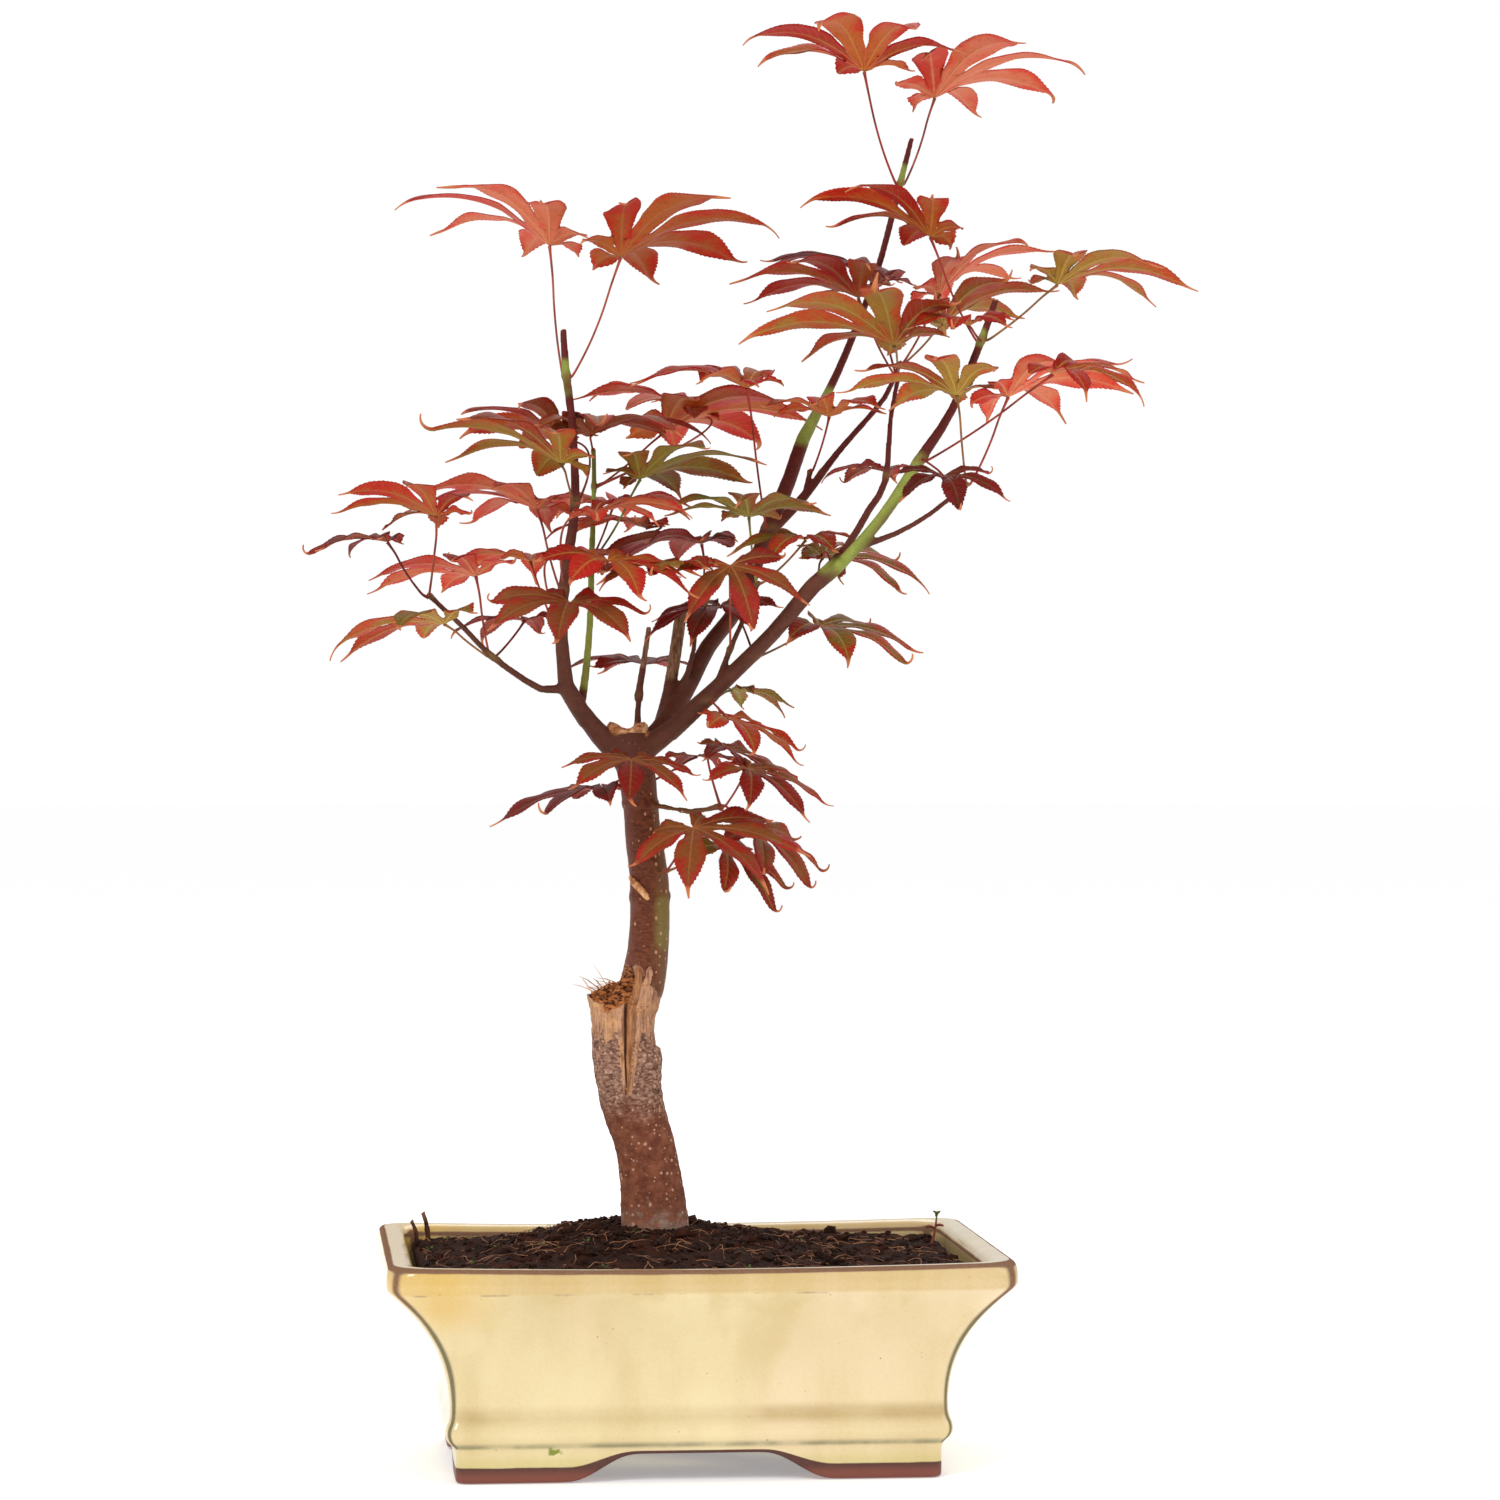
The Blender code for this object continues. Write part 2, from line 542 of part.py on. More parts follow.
def petiole_route(node, hub, start):
    """Stations from the blade's base down to the node: a quadratic curve that leaves the wood sideways."""
    centre = Vector(node[:3])
    sideways = Vector((hub.x - centre.x, hub.y - centre.y, 0)).normalized()
    root = centre + sideways * (node[3] + PETIOLE_CLEAR)
    knee = root.lerp(start, 0.4) + sideways * 0.1 * (start - root).length
    stations = []
    for i in range(1, PETIOLE_STATIONS + 1):
        t = i / PETIOLE_STATIONS
        stations.append(start * (1 - t) ** 2 + knee * 2 * t * (1 - t) + root * t ** 2)
    return stations


def build_leaf(node, offset, heading, nod, bank, span, lobe_count):
    def build(shape):
        hub = Vector(node[:3]) + Vector(offset)
        spin = (Matrix.Rotation(radians(heading), 3, "Z") @ Matrix.Rotation(radians(nod), 3, "Y")
                @ Matrix.Rotation(radians(bank), 3, "X"))
        axes = spin.col[0], spin.col[1], spin.col[2]
        rise = lobe_rise(hub)
        half = LOBES[lobe_count]
        lobes = [(-turn, reach) for turn, reach in reversed(half[1:])] + list(half)

        def vertex(point):
            return shape.verts.new(place(*point))

        start = hub - axes[0] * PETIOLE_HALF_WIDTH
        centre = vertex(hub)
        notch = [vertex(start - axes[1] * PETIOLE_HALF_WIDTH), vertex(start + axes[1] * PETIOLE_HALF_WIDTH)]
        sinuses = [notch[0]]
        for (turn_a, reach_a), (turn_b, reach_b) in zip(lobes, lobes[1:]):
            middle = radians((turn_a + turn_b) / 2)
            depth = span * min(reach_a, reach_b)
            sinuses.append(vertex(hub + lobe_point(axes, rise, middle, depth, SINUS, 0)))
        sinuses.append(notch[1])
        for i, (turn, reach) in enumerate(lobes):
            length = span * reach
            width = LOBE_HALF_WIDTH * (length + span) / 2
            stations = []
            for along, across in ((LOBE_WIDEST, -width), (LOBE_WIDEST, 0), (LOBE_WIDEST, width), (1, 0)):
                stations.append(vertex(hub + lobe_point(axes, rise, radians(turn), length, along, across)))
            right, rib, left, tip = stations
            shape.faces.new((centre, sinuses[i], right))
            shape.faces.new((centre, right, rib))
            shape.faces.new((centre, rib, left))
            shape.faces.new((centre, left, sinuses[i + 1]))
            shape.faces.new((right, tip, rib))
            shape.faces.new((rib, tip, left))
        shape.faces.new((centre, notch[1], notch[0]))
        across = axes[1].copy()
        previous, last_point = notch, start
        for point in petiole_route(node, hub, start):
            run = (point - last_point).normalized()
            across = (across - run * across.dot(run)).normalized()
            edge = across * PETIOLE_HALF_WIDTH
            station = [vertex(point - edge), vertex(point + edge)]
            shape.faces.new((previous[0], previous[1], station[1]))
            shape.faces.new((previous[0], station[1], station[0]))
            previous, last_point = station, point
    return build


for leaf_name, (node_name, offset, heading, nod, bank, span, lobe_count) in LEAVES.items():
    build = build_leaf(NODES[node_name], offset, heading, nod, bank, span, lobe_count)
    leaf = add_piece("leaf_" + leaf_name, mesh_from(leaf_name, build), "leaf")
    thickness = leaf.modifiers.new("thickness", "SOLIDIFY")
    thickness.thickness = BLADE_THICK * MM
    thickness.offset = 0


# On the soil -------------------------------------------------------------------------------------

for stick_name, stick_route in STICKS.items():
    add_piece(stick_name, tube_mesh(stick_name, stick_route, 6, 2), "stick")


def build_seedling_leaf(offset_x, offset_y):
    def build(shape):
        x, y, z, _ = SEEDLING_STEM[-1]
        middle = place(x + offset_x * 0.75, y + offset_y * 0.75, z - 0.4)
        lean = Matrix.Rotation(-offset_x * 0.16, 4, "Y")
        size = Matrix.Diagonal((2.2 if offset_x else 1.5, 1.5 if offset_x else 2.2, 0.6, 1))
        bmesh.ops.create_uvsphere(shape, u_segments=8, v_segments=5, radius=MM,
                                  matrix=Matrix.Translation(middle) @ lean @ size)
    return build


seedling = add_piece("weed_seedling", tube_mesh("weed_seedling", SEEDLING_STEM, 6, 1), "seedling")
for index, (leaf_x, leaf_y) in enumerate(SEEDLING_LEAVES):
    sprout = mesh_from("sprout", build_seedling_leaf(leaf_x, leaf_y))
    add_guide("sprout_" + str(index), sprout, sprouts)
join_all(seedling, sprouts)
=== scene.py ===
import math
import random
from itertools import combinations

import bmesh
import bpy
import numpy as np
from mathutils import Matrix, Vector, noise
from mathutils.bvhtree import BVHTree
from mathutils.kdtree import KDTree


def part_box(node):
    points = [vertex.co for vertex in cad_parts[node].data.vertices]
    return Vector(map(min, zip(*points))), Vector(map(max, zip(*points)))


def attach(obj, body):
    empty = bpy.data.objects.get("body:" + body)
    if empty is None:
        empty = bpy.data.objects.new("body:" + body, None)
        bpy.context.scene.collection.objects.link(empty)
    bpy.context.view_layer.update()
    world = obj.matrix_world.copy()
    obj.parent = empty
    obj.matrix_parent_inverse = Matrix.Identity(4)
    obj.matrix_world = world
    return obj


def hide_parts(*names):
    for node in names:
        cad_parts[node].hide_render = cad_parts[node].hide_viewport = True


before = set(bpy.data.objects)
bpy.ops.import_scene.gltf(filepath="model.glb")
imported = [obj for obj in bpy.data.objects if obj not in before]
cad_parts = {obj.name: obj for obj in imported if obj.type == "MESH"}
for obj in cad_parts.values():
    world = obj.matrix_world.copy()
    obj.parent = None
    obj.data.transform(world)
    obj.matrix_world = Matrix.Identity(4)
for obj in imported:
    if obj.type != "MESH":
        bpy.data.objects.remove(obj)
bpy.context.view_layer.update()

scene = bpy.context.scene
MM = 0.001

# ---- Studio --------------------------------------------------------------------------------------
# A pale floor that runs out to the horizon, a bright even surround, one broad soft light high on
# the left, a weaker one on the right, and a long lens a little to the left of the pot.

TREE_MIDDLE = Vector((0, 0, 0.25))
FLOOR_RADIUS = 14
FLOOR_SIDES = 64
SKY_AS_LIGHT = 0.72
SKY_AS_SEEN = 1.02


def linked(name, data):
    """An object with this data, in the scene."""
    made = bpy.data.objects.new(name, data)
    scene.collection.objects.link(made)
    return made


camera = linked("camera", bpy.data.cameras.new("camera"))
camera.location = (-0.161, -1.702, 0.254)
camera.rotation_euler = (math.radians(89.7), 0, math.radians(-5.55))
camera.data.lens = 118.5
camera.data.sensor_width = 36
camera.data.clip_end = 60
scene.camera = camera
scene.view_settings.view_transform = "Standard"


def shade(red, green, blue):
    """A linear colour from the three display levels, 0 to 255, that a colour card shows."""
    linear = [level / 3294 if level < 10.3 else ((level / 255 + 0.055) / 1.055) ** 2.4
              for level in (red, green, blue)]
    return (*linear, 1)


def soft_light(name, place, size, watts):
    """A square area light that faces the middle of the tree."""
    lamp = linked(name, bpy.data.lights.new(name, "AREA"))
    lamp.data.size = size
    lamp.data.energy = watts
    lamp.location = place
    lamp.rotation_euler = (TREE_MIDDLE - Vector(place)).to_track_quat("-Z", "Y").to_euler()


soft_light("key_light", (-1.1, -1.5, 1.7), 0.8, 20)
soft_light("fill_light", (1.5, -0.9, 1.0), 1.2, 6)
soft_light("back_light", (0.4, 1.6, 1.5), 1.2, 8)

surround = bpy.data.worlds.new("surround")
surround.use_nodes = True
sky = surround.node_tree.nodes["Background"]
sky.inputs["Color"].default_value = (1, 1, 1, 1)
seen_or_lit = surround.node_tree.nodes.new("ShaderNodeMapRange")
seen_or_lit.inputs["To Min"].default_value = SKY_AS_LIGHT
seen_or_lit.inputs["To Max"].default_value = SKY_AS_SEEN
ray = surround.node_tree.nodes.new("ShaderNodeLightPath")
surround.node_tree.links.new(ray.outputs["Is Camera Ray"], seen_or_lit.inputs["Value"])
surround.node_tree.links.new(seen_or_lit.outputs["Result"], sky.inputs["Strength"])
scene.world = surround


def new_piece(name, vertices, faces, smooth=True):
    """A mesh object made of lists of vertices and faces."""
    mesh = bpy.data.meshes.new(name)
    mesh.from_pydata(vertices, [], faces)
    mesh.validate()
    if smooth:
        mesh.shade_smooth()
    else:
        mesh.shade_flat()
    return linked(name, mesh)


def circle(count, radius, z=0, middle=(0, 0)):
    """Points evenly round an upright axis."""
    return [(middle[0] + radius * math.cos(math.tau * i / count),
             middle[1] + radius * math.sin(math.tau * i / count), z) for i in range(count)]


def paint(piece, finish):
    """Give the piece this finish and no other."""
    piece.data.materials.clear()
    piece.data.materials.append(finish)


floor = new_piece("floor", circle(FLOOR_SIDES, FLOOR_RADIUS), [range(FLOOR_SIDES)], smooth=False)
floor_finish = bpy.data.materials.new("floor_paper")
floor_finish.use_nodes = True
floor_shader = floor_finish.node_tree.nodes["Principled BSDF"]
for label, value in (("Base Color", shade(250, 250, 250)), ("Roughness", 0.9), ("Specular IOR Level", 0.1),
                     ("Emission Color", (1, 1, 1, 1)), ("Emission Strength", 0.3)):
    floor_shader.inputs[label].default_value = value
paint(floor, floor_finish)

# ---- Pot -----------------------------------------------------------------------------------------
# A slab-sided stoneware pot with a hollow flare, a rolled foot band and four bracket feet. It was
# dipped in a honey-cream glaze that breaks dark on its edges; the feet were wiped bare.

pot_low, pot_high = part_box("pot")
pot_middle = (pot_low + pot_high) / 2
POT_TOP = pot_high.z
HALF_LENGTH = 0.105
HALF_WIDTH = 0.078
FOOT_CORNER = 4 * MM
RIM_CORNER = 10.5 * MM
LONG_SIDE_POINTS = 44
END_SIDE_POINTS = 32
CORNER_STEPS = 6
FLARE_FOOT = 22 * MM
FLARE_TOP = 66 * MM
FLARE_DEPTH = 21 * MM
WALL_THICK = 9.5 * MM
RIM_DIP = 1.5 * MM
FOOT_RING_TOP = 12 * MM
DRAIN_RADIUS = 9 * MM
DRAIN_OFFSET = 40 * MM
DRAIN_SIDES = 40
# Long side, then end side: half width of the arch at the ground and at its top, and its rise.
ARCHES = ((44 * MM, 22 * MM, 9.5 * MM), (30 * MM, 14 * MM, 7 * MM))
# Foot and roll, then rim: inset from the rim's outline, height, thin glaze, bare clay.
FOOT_STATIONS = ((23.6, 0, 0, 1), (23.1, 0.6, 0, 1), (23, 2, 0, 1), (23, 4, 0, 1), (23, 5.2, 0, 0.6),
                 (23, 6.4, 0, 0), (23, 9, 0, 0), (22.8, 11, 0.1, 0), (22, 12.6, 0.4, 0),
                 (20.6, 13.8, 0.1, 0), (19.7, 15.4, 0, 0), (19.4, 17.2, 0, 0), (19.7, 19, 0, 0),
                 (20.5, 20.6, 0.1, 0), (20.9, 22, 0, 0))
RIM_STATIONS = ((-0.1, 66.2, 0, 0), (-0.5, 67.4, 0, 0), (-0.6, 69, 0, 0), (-0.5, 71, 0, 0),
                (-0.2, 72.8, 0, 0), (0.3, 73.9, 0.75, 0), (0.9, 74.6, 1, 0), (1.7, 75, 0.75, 0),
                (3, 75.1, 0, 0), (5, 75, 0, 0), (6.8, 74.7, 0, 0), (8, 74, 0, 0), (8.7, 73, 0.2, 0),
                (9.1, 71.8, 0.9, 0), (9.3, 70.6, 0.3, 0), (9.4, 69, 0, 0))


def flare_inset(height):
    """How far the outer wall stands in from the rim."""
    share = max(0, height - FLARE_FOOT) / (FLARE_TOP - FLARE_FOOT)
    return FLARE_DEPTH * (1 - share ** 2.4)


def pot_outline(half_x, half_y, corner):
    """A rounded rectangle as (x, y, is it an end side, how near a corner's middle)."""
    points = []
    sides = ((1, 1, 0), (-1, 1, 90), (-1, -1, 180), (1, -1, 270))
    for index, (sign_x, sign_y, start) in enumerate(sides):
        centre = (sign_x * (half_x - corner), sign_y * (half_y - corner))
        for step in range(CORNER_STEPS + 1):
            share = step / CORNER_STEPS
            angle = math.radians(start + 90 * share)
            on_end = (share < 0.5) == (index % 2 == 0)
            points.append((centre[0] + corner * math.cos(angle), centre[1] + corner * math.sin(angle),
                           on_end, 1 - abs(2 * share - 1)))
        next_x, next_y, turn = sides[(index + 1) % 4]
        goal = (next_x * (half_x - corner) + corner * math.cos(math.radians(turn)),
                next_y * (half_y - corner) + corner * math.sin(math.radians(turn)))
        count = LONG_SIDE_POINTS if index % 2 == 0 else END_SIDE_POINTS
        from_x, from_y = points[-1][:2]
        for step in range(1, count):
            share = step / count
            points.append((from_x + (goal[0] - from_x) * share, from_y + (goal[1] - from_y) * share,
                           index % 2 == 1, 0))
    return points


def arch_height(x, y, on_end):
    """Height of the gap between two feet at a point of the foot ring."""
    outer, inner, rise = ARCHES[1] if on_end else ARCHES[0]
    share = (outer - abs(y if on_end else x)) / (outer - inner)
    share = min(1, max(0, share))
    return rise * share * share * (3 - 2 * share)


def pot_ring(half_x, half_y, height, thin=0, clay=0, corner=FOOT_CORNER, lifted=True):
    """One level of the pot: vertices, and how thin the glaze and how bare the clay is at each."""
    ring = []
    for x, y, on_end, cornered in pot_outline(half_x, half_y, corner):
        z = height
        if lifted and height < FOOT_RING_TOP:
            rise = arch_height(x, y, on_end)
            z = rise + height * (FOOT_RING_TOP - rise) / FOOT_RING_TOP
        weight = max(0, (height - FLARE_FOOT) / (POT_TOP - FLARE_FOOT))
        z -= RIM_DIP * weight ** 3 * max(0, 1 - (x / HALF_LENGTH) ** 2)
        edge = cornered if FOOT_RING_TOP < height < 74 * MM and clay == 0 else 0
        ring.append(((x + pot_middle.x, y + pot_middle.y, z), max(thin, 0.85 * edge ** 2), clay))
    return ring


def inset_ring(inset, height, thin=0, clay=0):
    """A ring of the outer or inner wall, rounder at its corners towards the rim."""
    risen = max(0, height - FLARE_FOOT) / (POT_TOP - FLARE_FOOT)
    corner = FOOT_CORNER + (RIM_CORNER - FOOT_CORNER) * risen
    return pot_ring(HALF_LENGTH - inset, HALF_WIDTH - inset, height, thin, clay, corner)


# Underside of the floor and inner face of the feet: half length, half width, height.
UNDER_STATIONS = ((66, 40, 10.5), (66, 40, 10.1), (66.2, 40.2, 0.6), (66.8, 40.8, 0))
# Where the inner wall rounds into the floor: inset, height.
INSIDE_STATIONS = ((30.5, 19.5), (31.8, 17.5), (34, 17))
pot_rings = [pot_ring(half_x * MM, half_y * MM, height * MM, 0, 1, lifted=height < 1)
             for half_x, half_y, height in UNDER_STATIONS]
pot_rings += [inset_ring(inset * MM, height * MM, *looks) for inset, height, *looks in FOOT_STATIONS]
pot_rings += [inset_ring(flare_inset(height * MM), height * MM) for height in range(24, 66, 3)]
pot_rings += [inset_ring(inset * MM, height * MM, *looks) for inset, height, *looks in RIM_STATIONS]
pot_rings += [inset_ring(flare_inset(height * MM) + WALL_THICK, height * MM) for height in range(66, 20, -4)]
pot_rings += [inset_ring(inset * MM, height * MM) for inset, height in INSIDE_STATIONS]


def skin(rings):
    """Faces between rings of equal length, open at both ends."""
    count = len(rings[0])
    faces = []
    for first in range(0, (len(rings) - 1) * count, count):
        for i in range(count):
            after = (i + 1) % count
            faces.append([first + i, first + after, first + count + after, first + count + i])
    return faces


def close_ends(piece):
    """Fill the open ends of a piece and turn its faces outwards."""
    shape = bmesh.new()
    shape.from_mesh(piece.data)
    bmesh.ops.holes_fill(shape, edges=shape.edges)
    bmesh.ops.recalc_face_normals(shape, faces=shape.faces)
    shape.to_mesh(piece.data)
    shape.free()


def set_values(piece, name, values):
    """Keep one number for each vertex, for the piece's material to read."""
    layer = piece.data.attributes.new(name, "FLOAT", "POINT")
    layer.data.foreach_set("value", np.asarray(values, np.float32))


def settle(piece):
    """Turn the piece's modifiers into its mesh."""
    bpy.context.view_layer.update()
    final = bpy.data.meshes.new_from_object(piece.evaluated_get(bpy.context.evaluated_depsgraph_get()))
    piece.modifiers.clear()
    piece.data = final


pot_stations = [station for ring in pot_rings for station in ring]
pot = new_piece("glazed_pot", [place for place, _, _ in pot_stations], skin(pot_rings))
set_values(pot, "thin_glaze", [thin for _, thin, _ in pot_stations])
set_values(pot, "bare_clay", [clay for _, _, clay in pot_stations])
rounding = pot.modifiers.new("rounding", "SUBSURF")
rounding.levels = 1
rounding.render_levels = 1
settle(pot)
close_ends(pot)

for side in (-1, 1):
    drill_middle = (pot_middle.x + side * DRAIN_OFFSET, pot_middle.y)
    levels = [circle(DRAIN_SIDES, DRAIN_RADIUS, z, drill_middle) for z in (4 * MM, 30 * MM)]
    drill = new_piece("drill", levels[0] + levels[1], skin(levels))
    close_ends(drill)
    bore = pot.modifiers.new("bore", "BOOLEAN")
    bore.operation = "DIFFERENCE"
    bore.solver = "MANIFOLD"
    bore.object = drill
    settle(pot)
    bpy.data.objects.remove(drill)


def finish_named(name):
    """A new node material; gives the material, its node tree and its Principled shader."""
    made = bpy.data.materials.new(name)
    made.use_nodes = True
    return made, made.node_tree, made.node_tree.nodes["Principled BSDF"]


def feed(tree, socket, value):
    """Set a socket to a value, or link it to another node's output."""
    if isinstance(value, bpy.types.NodeSocket):
        tree.links.new(value, socket)
    else:
        socket.default_value = value


def maths(tree, operation, *values):
    """One step of arithmetic on values or other nodes' outputs."""
    step = tree.nodes.new("ShaderNodeMath")
    step.operation = operation
    for socket, value in zip(step.inputs, values):
        feed(tree, socket, value)
    return step.outputs[0]


def times(tree, first, *others):
    """The product of one or more values."""
    for other in others:
        first = maths(tree, "MULTIPLY", first, other)
    return first


def scaled(tree, value, factor, offset):
    """A value times a factor, plus an offset."""
    return maths(tree, "MULTIPLY_ADD", value, factor, offset)


def between(tree, value, low, high):
    """0 at low and 1 at high, with a smooth step."""
    step = tree.nodes.new("ShaderNodeMapRange")
    step.interpolation_type = "SMOOTHSTEP"
    feed(tree, step.inputs["Value"], value)
    feed(tree, step.inputs["From Min"], low)
    feed(tree, step.inputs["From Max"], high)
    return step.outputs[0]


def mixed(tree, mask, low, high, blend="MIX"):
    """One colour over another where the mask is 1."""
    step = tree.nodes.new("ShaderNodeMix")
    step.data_type = "RGBA"
    step.blend_type = blend
    for index, value in ((0, mask), (6, low), (7, high)):
        feed(tree, step.inputs[index], value)
    return step.outputs[2]


def ramp(tree, value, low, high, first, second):
    """From one display colour to another as the value goes from low to high."""
    return mixed(tree, between(tree, value, low, high), shade(*first), shade(*second))


def over(tree, colour, red_green_blue, *masks):
    """A display colour laid over a colour as far as the masks' product goes."""
    return mixed(tree, times(tree, *masks), colour, shade(*red_green_blue))


def dress(tree, shader, colour, roughness, normal=None, specular=None):
    """Feed a finish's colour, roughness and normal, and how strongly it mirrors."""
    for label, value in (("Base Color", colour), ("Roughness", roughness), ("Normal", normal),
                         ("Specular IOR Level", specular)):
        if value is not None:
            feed(tree, shader.inputs[label], value)


def where(tree, stretch=(1, 1, 1)):
    """The place on the piece in metres, stretched for patterns that run one way."""
    source = tree.nodes.new("ShaderNodeTexCoord").outputs["Object"]
    step = tree.nodes.new("ShaderNodeMapping")
    step.inputs["Scale"].default_value = stretch
    feed(tree, step.inputs["Vector"], source)
    return step.outputs[0]


def cloud(tree, place, scale, detail=3, roughness=0.5):
    """Soft noise from 0 to 1, with features about 1 / scale metres across."""
    step = tree.nodes.new("ShaderNodeTexNoise")
    feed(tree, step.inputs["Vector"], place)
    step.inputs["Scale"].default_value = scale
    step.inputs["Detail"].default_value = detail
    step.inputs["Roughness"].default_value = roughness
    return step.outputs[0]


def axis_of(tree, place, axis):
    """One of a place's three coordinates."""
    step = tree.nodes.new("ShaderNodeSeparateXYZ")
    feed(tree, step.inputs[0], place)
    return step.outputs[axis]


def value_of(tree, name):
    """The number that the piece keeps at each vertex under this name."""
    step = tree.nodes.new("ShaderNodeAttribute")
    step.attribute_name = name
    return step.outputs["Fac"]


def relief(tree, height, distance, strength=1, under=None):
    """A normal that follows a height pattern."""
    step = tree.nodes.new("ShaderNodeBump")
    step.inputs["Strength"].default_value = strength
    step.inputs["Distance"].default_value = distance
    feed(tree, step.inputs["Height"], height)
    if under:
        feed(tree, step.inputs["Normal"], under)
    return step.outputs[0]


def group_named(name, inputs, outputs):
    """An empty node group; inputs are (name, kind) and outputs too."""
    made = bpy.data.node_groups.new(name, "ShaderNodeTree")
    for label, kind in inputs:
        made.interface.new_socket(label, in_out="INPUT", socket_type="NodeSocket" + kind)
    for label, kind in outputs:
        made.interface.new_socket(label, in_out="OUTPUT", socket_type="NodeSocket" + kind)
    return made, made.nodes.new("NodeGroupInput").outputs, made.nodes.new("NodeGroupOutput").inputs


def placed(tree, group, **values):
    """One use of a node group in a material, with its own values."""
    step = tree.nodes.new("ShaderNodeGroup")
    step.node_tree = group
    for label, value in values.items():
        feed(tree, step.inputs[label], value)
    return step.outputs


# Small dark or pale grains, used by the glaze and the bark.
grains, grain_in, grain_out = group_named(
    "scattered_grains", [("Place", "Vector"), ("Scale", "Float"), ("Size", "Float")], [("Mask", "Float")])
grain_step = grains.nodes.new("ShaderNodeTexVoronoi")
grains.links.new(grain_in["Place"], grain_step.inputs["Vector"])
grains.links.new(grain_in["Scale"], grain_step.inputs["Scale"])
grain_pick = grains.nodes.new("ShaderNodeSeparateColor")
grains.links.new(grain_step.outputs["Color"], grain_pick.inputs[0])
grain_size = times(grains, grain_in["Size"], grain_pick.outputs[0])
grain_edge = maths(grains, "SUBTRACT", grain_size, grain_step.outputs["Distance"])
grains.links.new(between(grains, grain_edge, 0, 0.06), grain_out["Mask"])

glaze, tree, shader = finish_named("honey_cream_glaze")
place = where(tree)
level = axis_of(tree, place, "Z")
patches = cloud(tree, where(tree, (1, 1, 0.45)), 22, 3)
blush = cloud(tree, where(tree, (1, 1, 0.5)), 13, 2)
runs = cloud(tree, where(tree, (1, 1, 0.12)), 55, 3)
speckle = cloud(tree, place, 900, 4, 0.7)
colour = ramp(tree, patches, 0.32, 0.7, (230, 212, 162), (208, 186, 128))
colour = over(tree, colour, (232, 208, 166), between(tree, blush, 0.48, 0.7))
colour = over(tree, colour, (206, 180, 118), between(tree, runs, 0.48, 0.7), 0.5)

# Painted shade on the rim's face: a darker ochre band, standing for the shade under the lip's highlight.
# Thicker, yellower glaze: run down below the rim, and in the foot's hollow.
rim_face_shade = times(tree, between(tree, level, 0.0652, 0.0668), between(tree, level, 0.0745, 0.073))
rim_shade_share = scaled(tree, between(tree, runs, 0.3, 0.7), 0.35, 0.6)
# Painted shade: the rim's face darkened to ochre under the lip's highlight.
colour = over(tree, colour, (200, 166, 96), rim_face_shade, rim_shade_share)
pooled = times(tree, between(tree, level, 0.050, 0.066), between(tree, runs, 0.35, 0.7))
colour = over(tree, colour, (198, 168, 92), pooled, 0.4)
left_end = between(tree, axis_of(tree, place, "X"), pot_middle.x - 0.060, pot_middle.x - 0.092)
corner_pool = times(tree, left_end, between(tree, level, 0.046, 0.062), between(tree, patches, 0.1, 0.5))
colour = over(tree, colour, (216, 172, 52), corner_pool, 0.85)
crease = times(tree, between(tree, level, 0.0652, 0.0657), between(tree, level, 0.0663, 0.0658))
crease_gaps = between(tree, cloud(tree, where(tree, (1, 1, 0)), 60, 3), 0.5, 0.6)
colour = over(tree, colour, (112, 84, 52), crease, crease_gaps, 0.55)
foot_band = times(tree, between(tree, level, 0.0275, 0.0235), between(tree, level, 0.0185, 0.0225))
band_share = scaled(tree, between(tree, patches, 0.45, 0.6), 0.55, 0.3)
colour = over(tree, colour, (178, 148, 84), foot_band, band_share)
foot_line = times(tree, between(tree, level, 0.0145, 0.0128), between(tree, level, 0.0113, 0.0125))
line_share = scaled(tree, between(tree, runs, 0.35, 0.6), 0.5, 0.3)
colour = over(tree, colour, (116, 116, 72), foot_line, line_share)
colour = over(tree, colour, (190, 176, 92), between(tree, level, 0.011, 0.006), 0.55)

# Edges where the glaze ran thin, small pits, a green fleck of algae, and bare clay below.
wavy = scaled(tree, runs, 0.5, value_of(tree, "thin_glaze"))
broken = between(tree, wavy, 0.55, 0.95)
edge_tone = ramp(tree, level, 0.05, 0.07, (84, 78, 40), (100, 42, 8))
colour = mixed(tree, times(tree, broken, 0.97), colour, edge_tone)
pits = placed(tree, grains, Place=place, Scale=210, Size=0.1)["Mask"]
colour = over(tree, colour, (104, 78, 44), pits, 0.7)
colour = mixed(tree, 0.16, colour, mixed(tree, speckle, shade(178, 146, 96), shade(255, 250, 230)))
from_algae = tree.nodes.new("ShaderNodeVectorMath")
from_algae.operation = "DISTANCE"
feed(tree, from_algae.inputs[0], where(tree, (1, 0, 2)))
from_algae.inputs[1].default_value = (pot_middle.x - 0.049, 0, 0.021)
algae = scaled(tree, cloud(tree, place, 420, 3), 0.009, from_algae.outputs["Value"])
colour = over(tree, colour, (122, 134, 30), between(tree, algae, 0.0078, 0.0062))
ragged_clay = scaled(tree, runs, 0.35, value_of(tree, "bare_clay"))
bare = between(tree, ragged_clay, 0.5, 0.75)
clay_tone = ramp(tree, level, 0.002, 0.0055, (116, 58, 44), (62, 30, 22))
clay_tone = over(tree, clay_tone, (140, 80, 64), speckle, 0.3)
gloss = scaled(tree, bare, 0.62, scaled(tree, patches, 0.1, 0.1))
gloss = scaled(tree, broken, 0.4, gloss)
waves = relief(tree, cloud(tree, place, 90, 2), 0.0006, 0.25)
shine = maths(tree, "SUBTRACT", 1, broken)
dress(tree, shader, mixed(tree, bare, colour, clay_tone), gloss, relief(tree, speckle, 0.0001, 0.25, waves),
      times(tree, shine, 0.5))
tree.links.new(times(tree, shine, 0.2), shader.inputs["Coat Weight"])
shader.inputs["Coat Roughness"].default_value = 0.06
